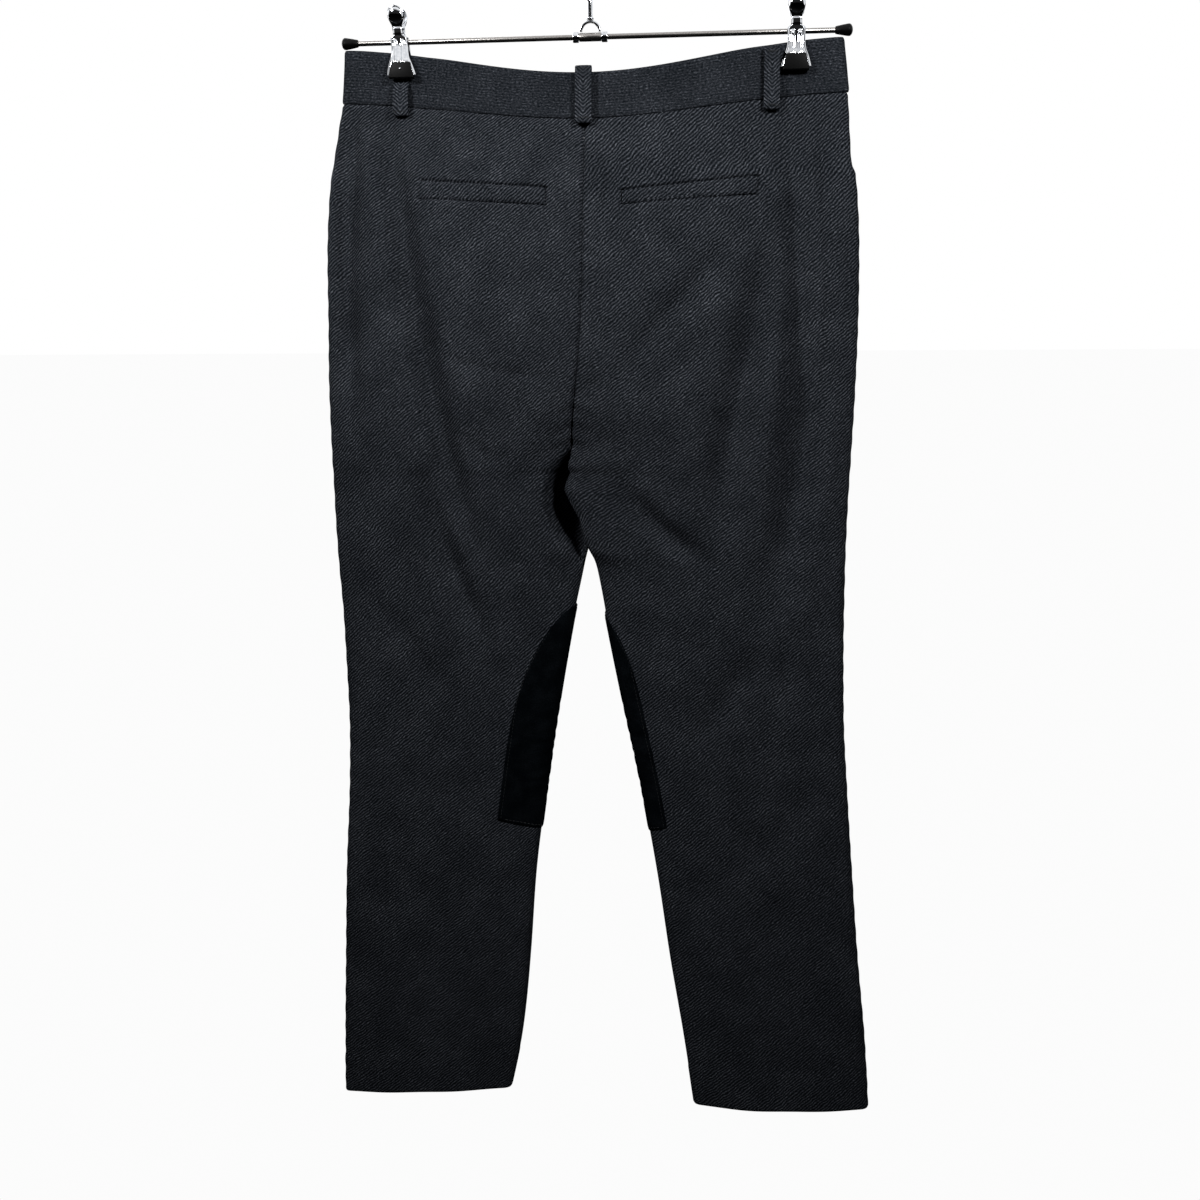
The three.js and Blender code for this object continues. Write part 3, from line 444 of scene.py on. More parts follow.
def foldDepth(rows, x, z):
    total = np.zeros(np.broadcast(x, z).shape)
    for fold in rows:
        dx, dz = fold["lowX"] - fold["topX"], fold["lowZ"] - fold["topZ"]
        length = math.hypot(dx, dz)
        t = np.clip(((x - fold["topX"]) * dx + (z - fold["topZ"]) * dz) / length ** 2, 0, 1)
        taper = np.sin(np.pi * t)
        across = ((x - fold["topX"]) * dz - (z - fold["topZ"]) * dx) / length
        total += fold["depth"] * taper * bell(across - fold["bow"] * taper, fold["width"])
    return total


def pressedDepth(face, depth, x, z):
    pressed = pinched(depth, x, z)
    folded = pressed - foldDepth(folds[face], x, z) * smooth(0, 8, pressed)
    folded -= foldDepth(creases[face], x, z) * smooth(0, 5, pressed)
    least = np.minimum(pressed, 1.5)  # a fold never reaches the other face
    eased = 2 * np.log1p(np.exp(np.clip((folded - least) / 2, -30, 30)))
    return least + eased - 1.39 * bell(folded - least, 2)


# Below the fork the right thigh's fullness rolls over the left one, which falls back from it
# and leaves a deep dark hollow between them.
cleft = {
    "z": (-410, -425, -437, -450, -464, -475, -489, -500, -510, -520),
    "over": (0, 5, 10, 15.5, 11, 6.5, 5, 3, 0.8, 0),
    "wall": (15, 23, 31, 35.5, 36, 32.5, 25.5, 17, 11.5, 9),
    "floor": 15.5, "frontFloor": 19, "lip": 3, "fullness": 2.5, "reach": 15, "roll": 48, "lift": 4,
}


def cleftShare(z):
    return smooth(-410, -432, z) * (1 - smooth(-502, -520, z))


def partThighs(side, x, y, z, slant, fromInner):
    down, within = [-level for level in cleft["z"]], cleftShare(z)
    if side == "right":
        rolled = smooth(cleft["roll"], 8, fromInner) * smooth(0, 9, y)
        return slant + np.interp(-z, down, cleft["over"]) * rolled, y + cleft["lift"] * rolled * within
    past = x + slant - np.interp(-z, down, cleft["wall"])
    y = y + cleft["fullness"] * bell(past - cleft["reach"] / 2, cleft["reach"]) * within * smooth(0, 6, past)
    hollow = 1 - smooth(-cleft["lip"] / 2, cleft["lip"], past)
    return slant, mix(y, -cleft["floor"] * smooth(0, 3, fromInner), hollow * within)


# Points on the outside of the cloth, and the arc from the side seam and its whole length.
def clothGrid(side, face, share, z):
    x, depth, inward, arc, length = sectionAt(side, face, share, z)
    x = sides[side] * x
    y = faces[face] * pressedDepth(face, depth, x, z)
    slant = read("lean", z) * y * inward ** 2 / 30
    fromInner = (1 - inward) * halfWidth
    if face == "back":
        slant, y = partThighs(side, x, y, z, slant, fromInner)
    elif side == "left":
        near = smooth(0, 3, fromInner) * smooth(60, 40, fromInner)
        y = np.minimum(y, -cleft["frontFloor"] * cleftShare(z) * near)
    return np.stack((x + slant, y + faces[face] * seamGap / 2, z), axis=-1), arc, length


def outerDepth(face, x, z):
    left, _ = sectionDepth("left", face, x, z)
    right, _ = sectionDepth("right", face, -x, z)
    return pressedDepth(face, np.where(x >= 0, left, right), x, z) + seamGap / 2


# Points at given X and heights on one face, moved out from the cloth.
def faceGrid(face, x, z, out):
    x, z = np.broadcast_arrays(np.asarray(x, dtype=float), np.asarray(z, dtype=float))
    step = 0.5
    depth = outerDepth(face, x, z)
    slopeX = (outerDepth(face, x + step, z) - outerDepth(face, x - step, z)) / (2 * step)
    slopeZ = (outerDepth(face, x, z + step) - outerDepth(face, x, z - step)) / (2 * step)
    normal = np.stack((-slopeX, np.full(x.shape, float(faces[face])), -slopeZ), axis=-1)
    normal /= np.linalg.norm(normal, axis=-1, keepdims=True)
    points = np.stack((x, faces[face] * depth, z), axis=-1)
    return points + normal * np.asarray(out)[..., None], normal


# Outward directions of a grid of points, from its neighbours along and down.
def gridNormals(points):
    normal = np.cross(np.gradient(points, axis=1), np.gradient(points, axis=0))
    normal /= np.maximum(1e-9, np.linalg.norm(normal, axis=-1, keepdims=True))
    outward = np.sum(normal[..., 1] * np.sign(points[..., 1]))
    return normal * (1 if outward > 0 else -1)


def movedOut(points, out):
    return points + gridNormals(points) * np.asarray(out)[..., None]


# edges of the pieces

halfSag = 215  # where the sag ends, just past the side seams
sag = {
    "top": {"height": topHeight, "back": 22.8, "front": 34},
    "waist": {"height": waistHeight, "back": 16.5, "front": 29},
}
mouth = {"width": 84, "low": -187, "run": 14, "seat": 0.5}


def edgeHeight(edge, face, x):
    droop = (1 + np.cos(np.pi * np.minimum(halfSag, np.abs(x)) / halfSag)) / 2
    return sag[edge]["height"] - sag[edge][face] * droop


def scoopHeight(low, width, fromSide, x):
    rise = edgeHeight("waist", "front", x) - low
    return low + rise * (1 - np.sqrt(1 - np.clip(fromSide / width, 0, 1) ** 2))


def hemAt(side, share):
    return -1021 - 12.5 * (1 - share) ** 1.8 if side == "left" else -1024.5 - 4 * share


# pieces from grids


# A sheet whose grid of vertices is moved to the given points, thickened inwards.
def makeSheet(name, points, weave, paint, thick, offset=-1.0, softEdge=0.0):
    rows, columns = points.shape[:2]
    grid = bmesh.new()
    bmesh.ops.create_grid(grid, x_segments=columns - 1, y_segments=rows - 1, size=0.5)
    mesh = bpy.data.meshes.new(name)
    grid.to_mesh(mesh)
    grid.free()
    place = np.empty(len(mesh.vertices) * 3)
    mesh.vertices.foreach_get("co", place)
    place = place.reshape(-1, 3)
    i = np.rint((place[:, 0] + 0.5) * (columns - 1)).astype(int)
    j = np.rint((0.5 - place[:, 1]) * (rows - 1)).astype(int)
    mesh.vertices.foreach_set("co", (points[j, i] * mm).ravel())
    corners = np.empty(len(mesh.loops), dtype=np.int32)
    mesh.loops.foreach_get("vertex_index", corners)
    layer = mesh.uv_layers.new(name="weave")
    layer.data.foreach_set("uv", (weave[j, i] * mm)[corners].ravel())
    wanted = gridNormals(points)
    found = np.empty(len(mesh.vertices) * 3)
    mesh.vertex_normals.foreach_get("vector", found)
    if np.sum(found.reshape(-1, 3) * wanted[j, i]) < 0:
        mesh.flip_normals()
    obj = placeObject(name, mesh)
    mesh.materials.append(paint)
    solid = obj.modifiers.new("thickness", "SOLIDIFY")
    solid.thickness = thick * mm
    solid.offset = offset
    if softEdge:
        soften = obj.modifiers.new("soft edge", "BEVEL")
        soften.width = softEdge * mm
        soften.segments = 2
        soften.limit_method = "ANGLE"
        soften.angle_limit = math.radians(50)
    return settle(obj)


# Turns an object with its modifiers into a plain mesh, sharp only where it turns enough.
def settle(obj, angle=45):
    ready = obj.evaluated_get(bpy.context.evaluated_depsgraph_get())
    mesh = bpy.data.meshes.new_from_object(ready)
    name = obj.name
    bpy.data.objects.remove(obj)
    mesh.polygons.foreach_set("use_smooth", np.ones(len(mesh.polygons), dtype=bool))
    mesh.set_sharp_from_angle(angle=math.radians(angle))
    return placeObject(name, mesh)


def placeObject(name, data):
    obj = bpy.data.objects.new(name, data)
    bpy.context.scene.collection.objects.link(obj)
    return obj


def meshFrom(grid, name, paint):
    mesh = bpy.data.meshes.new(name)
    grid.to_mesh(mesh)
    grid.free()
    mesh.materials.append(paint)
    return placeObject(name, mesh)


def finishPiece(obj, slot, *nodes):
    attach(obj, "root")
    if nodes:
        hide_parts(*nodes)


def weaveOf(across, up):
    return np.stack(np.broadcast_arrays(across, up), axis=-1)


print("form ready")

# legs

panel = {
    "columns": 120, "rows": 380, "thick": 1.5,
    "seamDepth": 0.9, "centreDepth": 1.9, "seamWidth": 1.3, "turnings": 0.3,
    "puckerDepth": 0.55, "puckerPitch": 13, "puckerReach": 15,
    "hemTurn": 38, "hemRise": 0.4,
    "slitDepth": 2.4, "slitWidth": 1.1, "weltDepth": 1.7, "dartDepth": 1.4,
}
topFade, hemFade = -205, -880
darts = table("topX topZ lowX lowZ", ((90.4, -140, 93.1, -183), (-96.8, -139, -86.1, -180)))
welts = {
    "left": {"outer": (140, -192, -205.5), "inner": (32.4, -199.6, -212.6)},
    "right": {"outer": (-139.7, -193, -206.1), "inner": (-31, -203, -213.1)},
}


def spread(u):
    return mix(u, (1 - np.cos(np.pi * u)) / 2, 0.7)


# Heights of a panel's rows, closest at the waist seam, the welts, the fork and the hem.
def rowLevels(count):
    level = np.linspace(waistHeight, hemHeight, 4000)
    dense = 1 + 4 * bell(level - waistHeight, 7) + 3.5 * bell(level + 203, 13)
    dense += 1.2 * bell(level + 465, 35) + 2 * bell(level - hemHeight, 8)
    total = np.concatenate(([0], np.cumsum((dense[1:] + dense[:-1]) / 2)))
    return np.interp(np.linspace(0, total[-1], count + 1), total, level)


def panelLevels(side, face, share, level):
    x, _, _, arc, _ = sectionAt(side, face, share, np.full(share.shape, waistHeight))
    top = edgeHeight("waist", face, x)
    if face == "front":
        top = np.minimum(top, scoopHeight(mouth["low"], mouth["width"], arc, x))
    towardsTop = np.clip((level - topFade) / (waistHeight - topFade), 0, 1)
    towardsHem = np.clip((hemFade - level) / (hemFade - hemHeight), 0, 1)
    return level + (top - waistHeight) * towardsTop + (hemAt(side, share) - hemHeight) * towardsHem, top


# Distance from a straight line, signed, and how far along it, from 0 to 1.
def alongLine(line, x, z):
    dx, dz = line["lowX"] - line["topX"], line["lowZ"] - line["topZ"]
    length = math.hypot(dx, dz)
    t = ((x - line["topX"]) * dx + (z - line["topZ"]) * dz) / length ** 2
    return ((x - line["topX"]) * dz - (z - line["topZ"]) * dx) / length, t


# Small relief of the cutting and sewing, outwards in millimetres.
def panelRelief(side, face, points, arc, length, share, top):
    x, z = points[..., 0], points[..., 2]
    fromSide, fromInner, below = arc, length - arc, top - z
    relief = np.zeros(x.shape)
    for distance, seamDepth in ((fromSide, panel["seamDepth"]), (fromInner, panel["centreDepth"])):
        relief -= seamDepth * bell(distance, panel["seamWidth"])
        relief += panel["turnings"] * bell(distance - 5, 4)
    # the centre seam draws the cloth into uneven puckers, the side seams less
    wander = 0.9 * np.sin(z / 37 + 1) + 0.5 * np.sin(z / 11.3)
    beat = np.sin(2 * np.pi * (z + 0.35 * fromInner) / panel["puckerPitch"] + wander)
    reach = smooth(-165, -200, z) * (1 - smooth(-440, -470, z)) * (0.75 + 0.35 * np.sin(z / 23))
    relief += panel["puckerDepth"] * beat * bell(fromInner, panel["puckerReach"]) * reach
    beatSide = np.sin(2 * np.pi * (z - 0.3 * fromSide) / 19 + 1.2 * np.sin(z / 53))
    relief += 0.22 * beatSide * bell(fromSide, 12)
    # waist seam and hem
    relief -= 1.1 * bell(below, 1.4) + 0.2 * np.sin(x / 3.1 + 1.5 * np.sin(x / 17)) * bell(below, 9)
    above = z - hemAt(side, share)
    relief += panel["hemRise"] * (1 - smooth(panel["hemTurn"] - 2, panel["hemTurn"] + 2, above))
    relief -= 0.8 * bell(above, 1.0)
    relief += 0.8 * np.sin(x / 26 + 1) * bell(above, 60) + 0.5 * np.sin(x / 11 + 2) * bell(above, 30)
    # slow unevenness of hung cloth
    relief += 0.35 * np.sin(x / 29 + z / 71) + 0.3 * np.sin(x / 17 - z / 47 + 2)
    relief *= smooth(-1, 5, np.abs(points[..., 1]) + 4)
    if face == "back":
        for dart in darts:
            away, t = alongLine(dart, x, z)
            inside = smooth(-0.1, 0.0, t) * (1 - smooth(0.85, 1.0, t))
            relief -= panel["dartDepth"] * bell(away, 1.1) * inside
            relief += 0.4 * bell(np.abs(away) - 4, 3) * inside
            relief -= 0.7 * bell(away, 7) * bell(t - 1.05, 0.2)
        outer, inner = welts[side]["outer"], welts[side]["inner"]
        u = (x - outer[0]) / (inner[0] - outer[0])
        high, low = mix(outer[1], inner[1], u), mix(outer[2], inner[2], u)
        within = (u > -0.01) & (u < 1.01)
        relief -= panel["slitDepth"] * bell(z - high - 0.8, panel["slitWidth"]) * within
        relief -= panel["weltDepth"] * bell(z - low + 0.5, 1.0) * within
        ends = np.minimum(np.abs(x - outer[0]), np.abs(x - inner[0]))
        relief -= panel["weltDepth"] * bell(ends - 0.6, 1.0) * ((z < high + 1) & (z > low - 1))
        relief += 0.5 * bell(z - (high + low) / 2, 16) * smooth(-0.1, 0.15, u) * (1 - smooth(0.85, 1.1, u))
    return relief


for side in sides:
    for face in faces:
        u, level = np.meshgrid(np.linspace(0, 1, panel["columns"] + 1), rowLevels(panel["rows"]))
        share = spread(u)
        z, top = panelLevels(side, face, share, level)
        points, arc, length = clothGrid(side, face, share, z)
        points = movedOut(points, panelRelief(side, face, points, arc, length, share, top))
        weave = weaveOf(sides[side] * faces[face] * arc, z)
        obj = makeSheet(f"{face}_{side}_cloth", points, weave, twill, panel["thick"])
        finishPiece(obj, "wool_twill", f"{face}_{side}")
        print("leg panel", face, side)

# hip pockets, waistband and welts


def gridOf(columns, rows):
    return np.meshgrid(np.linspace(0, 1, columns + 1), np.linspace(0, 1, rows + 1))


# Length of the front's section at the waist, from side seam to centre.
def waistLength(side):
    start = [np.full((1, 1), value, dtype=float) for value in (0, waistHeight)]
    return float(sectionAt(side, "front", *start)[4][0, 0])


for side in sides:
    length = waistLength(side)
    u, v = gridOf(48, 36)
    share = u * (mouth["width"] + mouth["run"] - 4) / length
    x = sectionAt(side, "front", share, np.full(u.shape, waistHeight))[0]
    low = scoopHeight(mouth["low"] - mouth["run"], mouth["width"] + mouth["run"], share * length, x)
    z = mix(edgeHeight("waist", "front", x) - seamGap, low, v)
    points, arc, _ = clothGrid(side, "front", share, z)
    points = movedOut(points, np.full(u.shape, -panel["thick"] - mouth["seat"]))
    weave = weaveOf(-sides[side] * arc, z)
    obj = makeSheet(f"pocket_{side}_cloth", points, weave, twill, 1.5)
    finishPiece(obj, "wool_twill", f"pocket_{side}")

band = {
    "columns": 110, "rows": 22, "thick": 2.4, "edge": 1.0,
    "lapLength": 32, "stepFrom": -7, "stepTo": -1.2,
}


# Rolled edges above and below, and the soft hollows that sewing through leaves.
def bandRelief(v, height, x):
    fromEdge = np.minimum(v, 1 - v) * height
    relief = -0.7 * bell(fromEdge, band["edge"]) + 0.15 * bell(fromEdge - 4, 3)
    return relief + 0.18 * np.sin(x / 9 + np.sin(x / 23)) * bell(v * height, 8) + 0.15 * np.sin(x / 21)


def bandShare(side, face, share, v, out):
    x = sectionAt(side, face, share, np.full(share.shape, waistHeight))[0]
    low, top = edgeHeight("waist", face, x) + seamGap, edgeHeight("top", face, x)
    z = mix(low, top, v)
    points, _, _ = clothGrid(side, face, share, z)
    return points, movedOut(points, out + bandRelief(v, top - low, sides[side] * x)), z


# Weave coordinates that follow the strip, measured along its middle row.
def alongStrip(points, z):
    middle = points[len(points) // 2]
    run = np.concatenate(([0], np.cumsum(np.linalg.norm(np.diff(middle, axis=0), axis=1))))
    centre = points[..., 2].mean(axis=0)
    return weaveOf(run[None, :], z - centre[None, :])


u, v = gridOf(band["columns"], band["rows"])
halves = [bandShare("left", "back", u, v, 0), bandShare("right", "back", 1 - u, v, 0)]
points = np.hstack((halves[0][1][:, :-1], halves[1][1]))
z = points[..., 2]
weave = alongStrip(points, z)
obj = makeSheet("waistband_back_cloth", points, weave, crossTwill, band["thick"], softEdge=0.5)
finishPiece(obj, "wool_twill", "waistband_back")

_, points, z = bandShare("left", "front", u, v, 0)
weave = alongStrip(points, z)
obj = makeSheet("waistband_front_left_cloth", points, weave, crossTwill, band["thick"], softEdge=0.5)
finishPiece(obj, "wool_twill", "waistband_front_left")

# the right front steps out at the middle and laps over the left one
x = sectionAt("right", "front", u, np.full(u.shape, waistHeight))[0]
step = (band["thick"] + seamGap) * smooth(band["stepFrom"], band["stepTo"], -x)
under = bandShare("right", "front", u, v, step)[1]
u, v = gridOf(22, band["rows"])
x = mix(1.0, band["lapLength"], u)
low, top = edgeHeight("waist", "front", x) + seamGap, edgeHeight("top", "front", x)
over, _ = faceGrid("front", x, mix(low, top, v), band["thick"] + seamGap + bandRelief(v, top - low, x))
points = np.hstack((under[:, :-1], over))
weave = alongStrip(points, points[..., 2])
obj = makeSheet("waistband_front_right_cloth", points, weave, crossTwill, band["thick"], softEdge=0.5)
finishPiece(obj, "wool_twill", "waistband_front_right")

for side, place in welts.items():
    outer, inner = place["outer"], place["inner"]
    u, v = gridOf(64, 12)
    x = mix(outer[0], inner[0], u)
    high, low = mix(outer[1], inner[1], u), mix(outer[2], inner[2], u)
    z = mix(high, low, v)
    fromEnd = np.minimum(u, 1 - u) * abs(outer[0] - inner[0])
    fromEdge = np.minimum(np.minimum(v, 1 - v) * (high - low), fromEnd)
    out = 1.5 - 1.0 * bell(fromEdge, 0.9) + 0.15 * np.sin(x / 7) - 0.9 * v ** 3
    points, _ = faceGrid("back", x, z, out)
    weave = weaveOf(-x, z)
    obj = makeSheet(f"welt_{side}_cloth", points, weave, twill, 1.1)
    finishPiece(obj, "wool_twill", f"welt_{side}")
print("pockets, waistband and welts")

# belt loops

strap = {"thick": 1.6, "seat": 0.9, "stand": 5.4, "stitchIn": 2.0}
loops = table("name face x width high low pressed", (
    ("back_center", "back", 1, 13, -103.5, -149.5, False),
    ("back_left", "back", 154.5, 12.5, -92, -139.5, True),
    ("back_right", "back", -149.5, 12.5, -92.5, -141, False),
    ("front_left", "front", 92, 12.5, -100, -149, False),
    ("front_right", "front", -96, 12.5, -100, -149, False),
))


# The strap's middle line as distance out from the cloth and height, from its top end down.
def strapLine(loop):
    near = strap["seat"] + strap["thick"] / 2
    far = strap["stand"] + strap["thick"] / 2
    bend = (far - near) / 2

    def turn(centre, start, end):
        return [(near + bend + bend * math.cos(a), centre + bend * math.sin(a))
            for a in np.linspace(start, end, 10)]

    high = loop["high"] - strap["thick"] / 2 - bend
    low = loop["low"] + strap["thick"] / 2 + bend
    if loop["pressed"]:
        head = [(near, loop["high"]), (near, -111.5), (near + 0.6, -113), (far - 0.8, -117.5), (far, -120)]
    else:
        head = [(near, high - 3.5), *turn(high, math.pi, 0)]
    return np.array([*head, *turn(low, 0, -math.pi), (near, low + 3)])


# Even steps along a broken line, its corners eased.
def resample(line, count, ease=3):
    run = np.concatenate(([0], np.cumsum(np.linalg.norm(np.diff(line, axis=0), axis=1))))
    even = np.linspace(0, run[-1], count)
    smoothed = np.stack([np.interp(even, run, line[:, k]) for k in range(line.shape[1])], axis=1)
    for _ in range(ease):
        smoothed[1:-1] = (smoothed[:-2] + 2 * smoothed[1:-1] + smoothed[2:]) / 4
    return smoothed, even


for loop in loops:
    line, run = resample(strapLine(loop), 84)
    middle = (loop["high"] + loop["low"]) / 2
    _, normal = faceGrid(loop["face"], loop["x"], middle, 0.0)
    outward = normal * (1, 1, 0) / np.linalg.norm(normal[:2])
    cross = np.linspace(-0.5, 0.5, 17)[None, :] * loop["width"]
    x = loop["x"] + cross + 0 * line[:, :1]
    base, _ = faceGrid(loop["face"], x, line[:, 1:] + 0 * x, np.zeros(x.shape))
    fromEdge = loop["width"] / 2 - np.abs(cross)
    bent = np.gradient(line, axis=0)
    bent /= np.linalg.norm(bent, axis=1, keepdims=True)
    relief = -0.45 * bell(fromEdge, 0.7) - 0.22 * bell(fromEdge - strap["stitchIn"], 0.5)
    away = -bent[:, 1:] * relief
    points = base + outward * (line[:, :1] + away)[..., None]
    points[..., 2] += bent[:, :1] * relief
    weave = weaveOf(np.abs(cross), -run[:, None])
    obj = makeSheet(f"loop_{loop['name']}_cloth", points, weave, loopTwill, strap["thick"],
        offset=0.0, softEdge=0.4)
    finishPiece(obj, "wool_twill", f"loop_{loop['name']}")
    weave = weaveOf(cross, -run[:, None])
print("belt loops")

# inner leg patches

patches = {
    "left": {"back": 45, "front": 24, "apex": 0, "top": -552, "drop": 130, "power": 2},
    "right": {"back": 22.5, "front": 45, "apex": -16, "top": -556, "drop": 92, "power": 2.6},
}
patchLow = {"outer": -750, "inner": -761}
patchColumns, patchRows = 96, 150
patchCreases = table("z lift bow width reach", (
    (-642, 0.35, 5, 3.0, 0.7), (-655, 0.5, 3, 3.2, 0.9), (-668, 0.55, 6, 3.0, 0.8),
    (-679, 0.45, 2, 2.6, 1.0), (-690, 0.6, 5, 3.0, 0.9), (-702, 0.4, 4, 2.6, 0.7),
    (-712, 0.55, 6, 2.8, 0.9), (-722, 0.35, 3, 2.4, 0.8), (-733, 0.4, 5, 2.8, 0.6),
))


def patchGrid(side, u, v):
    shape = patches[side]
    away = mix(shape["back"], -shape["front"], u)
    wide = max(shape["back"] - shape["apex"], shape["front"] + shape["apex"])
    bottom = mix(patchLow["inner"], patchLow["outer"], np.abs(away) / wide)
    half = np.where(away > shape["apex"], shape["back"] - shape["apex"], shape["front"] + shape["apex"])
    t = np.clip(np.abs(away - shape["apex"]) / half, 0, 1)
    top = shape["top"] - shape["drop"] * (1 - (1 - t ** shape["power"]) ** (1 / shape["power"]))
    z = mix(top, bottom, v)
    result = np.zeros(u.shape + (3,))
    for face in faces:
        chosen = away >= 0 if face == "back" else away < 0
        length = sectionAt(side, face, np.ones(u.shape), z)[4]
        points, _, _ = clothGrid(side, face, 1 - np.abs(away) / length, z)
        result[chosen] = points[chosen]
    fromEnd = np.minimum(v, 1 - v) * (top - bottom)
    fromEdge = np.minimum(fromEnd, np.minimum(u, 1 - u) * (shape["back"] + shape["front"]))
    return result, away, z, fromEdge


for side in patches:
    points, away, z, fromEdge = patchGrid(side, *gridOf(patchColumns, patchRows))
    relief = 1.65 - 0.9 * bell(fromEdge, 1.1) - 0.35 * bell(fromEdge - 2.6, 0.8)
    for crease in patchCreases:
        level = crease["z"] + crease["bow"] * (np.cos(away / 22) - 1) + 2 * np.sin(away / 9 + crease["z"])
        relief -= crease["lift"] * bell(z - level, crease["width"]) * bell(away, 34 * crease["reach"])
    relief -= 0.5 * bell(away, 1.0)
    points = movedOut(points, relief)
    weave = weaveOf(-sides[side] * away, z)
    obj = makeSheet(f"patch_{side}_suede", points, weave, suede, 1.2)
    finishPiece(obj, "suede", f"patch_{side}")
print("suede patches")

# fly and zip

fly = {"lapWidth": 34, "overlap": 5, "low": -300, "curveStart": -252, "thick": 1.2}
zipper = {"from": -11, "to": 13, "top": -162, "low": -288, "behind": -2.2}


def flyEdge(z):
    t = np.clip((fly["curveStart"] - z) / (fly["curveStart"] - fly["low"]), 0, 1)
    return fly["overlap"] - 3 - (fly["lapWidth"] - 3) * np.sqrt(1 - t * t)


u, v = gridOf(30, 90)
z = mix(float(edgeHeight("waist", "front", 0)) - seamGap, fly["low"], v ** 0.8)
x = mix(flyEdge(z), fly["overlap"], u)
fromEdge = np.minimum(np.minimum(u, 1 - u) * (fly["overlap"] - flyEdge(z)), z - fly["low"])
points, _ = faceGrid("front", x, z, 1.7 - 0.7 * bell(fromEdge, 0.9))
weave = weaveOf(x, z)
obj = makeSheet("fly_lap_cloth", points, weave, twill, fly["thick"])
finishPiece(obj, "wool_twill", "fly_lap")

u, v = gridOf(16, 60)
x, z = mix(zipper["from"], zipper["to"], u), mix(zipper["top"], zipper["low"], v)
points, _ = faceGrid("front", x, z, np.full(u.shape, zipper["behind"]))
weave = weaveOf(x, z)
obj = makeSheet("fly_zip_tape", points, weave, tape, 1.0)
finishPiece(obj, "zip_tape", "fly_zip")
print("fly and zip")

# button

button = {
    "radius": 7.5, "thick": 2.6, "x": 20, "z": -138, "hole": 0.9, "spacing": 1.9,
    "dish": 0.6, "rim": 1.3, "lift": 3.5,
}


# A turned shape: points of radius and distance along its axis, spun full circle.
def spinProfile(profile, steps=48):
    turned = bmesh.new()
    corners = [turned.verts.new((radius * mm, 0, along * mm)) for radius, along in profile]
    for first, second in zip(corners, corners[1:]):
        turned.edges.new((first, second))
    bmesh.ops.spin(turned, geom=turned.verts[:] + turned.edges[:], cent=(0, 0, 0), axis=(0, 0, 1),
        dvec=(0, 0, 0), angle=2 * math.pi, steps=steps, use_merge=True, use_duplicate=False)
    bmesh.ops.remove_doubles(turned, verts=turned.verts, dist=0.001 * mm)
    bmesh.ops.recalc_face_normals(turned, faces=turned.faces)
    return turned


# Turns a shape made along +Z to a direction and moves it to a place.
def aimShape(shape, direction, place):
    turn = Vector(direction).to_track_quat("Z", "Y").to_matrix().to_4x4()
    bmesh.ops.transform(shape, verts=shape.verts, matrix=Matrix.Translation(Vector(place) * mm) @ turn)
    return shape


def addStitch(shape, place, along, outward, length, width):
    side = Vector(outward).cross(Vector(along)).normalized()
    axes = Matrix((Vector(along).normalized(), side, Vector(outward).normalized())).transposed().to_4x4()
    size = Matrix.Diagonal((length / 2 * mm, width / 2 * mm, width / 2 * mm, 1))
    bmesh.ops.create_icosphere(shape, subdivisions=2, radius=1,
        matrix=Matrix.Translation(Vector(place) * mm) @ axes @ size)


def cutHoles(obj):
    cutter = bmesh.new()
    for across in (-1, 1):
        for up in (-1, 1):
            place = Matrix.Translation(Vector((across, up, 0)) * button["spacing"] * mm)
            bmesh.ops.create_cone(cutter, cap_ends=True, segments=20, radius1=button["hole"] * mm,
                radius2=button["hole"] * mm, depth=12 * mm, matrix=place)
    tool = meshFrom(cutter, "button_holes", horn)
    cut = obj.modifiers.new("holes", "BOOLEAN")
    cut.operation = "DIFFERENCE"
    cut.object = tool
    cut.solver = "EXACT"
    done = settle(obj, angle=35)
    bpy.data.objects.remove(tool)
    return done


def makeButton():
    radius, thick, rim = button["radius"], button["thick"], button["rim"]
    profile = [(0, 0), (radius - 1, 0), (radius - 0.2, 0.5), (radius, thick / 2)]
    profile += [(radius - 0.2, thick - 0.5), (radius - rim / 2, thick), (radius - rim, thick - 0.2)]
    profile += [(radius - rim - 0.8, thick - button["dish"]), (0, thick - button["dish"] - 0.2)]
    obj = cutHoles(meshFrom(spinProfile(profile), "waist_button_horn", horn))
    place, normal = faceGrid("front", button["x"], button["z"], button["lift"])
    turn = Vector(normal).to_track_quat("Z", "Y").to_matrix().to_4x4()
    obj.data.transform(Matrix.Translation(Vector(place) * mm) @ turn)
    finishPiece(obj, "horn", "waist_button")
    sewing = bmesh.new()
    for across in (-1, 1):
        for offset in (-0.25, 0.25):
            spot = (across * button["spacing"] + offset, 0, thick - button["dish"] + 0.1)
            addStitch(sewing, spot, (0, 1, 0), (0, 0, 1), 2 * button["spacing"] + 1.2, 0.55)
    bmesh.ops.transform(sewing, verts=sewing.verts, matrix=Matrix.Translation(Vector(place) * mm) @ turn)
    finishPiece(settle(meshFrom(sewing, "waist_button_thread", thread)), "wool_twill")


makeButton()
print("button")

# stitching

stitching = {"length": 2.5, "gap": 0.9, "width": 0.5, "inset": 2.6, "lift": 1.35}


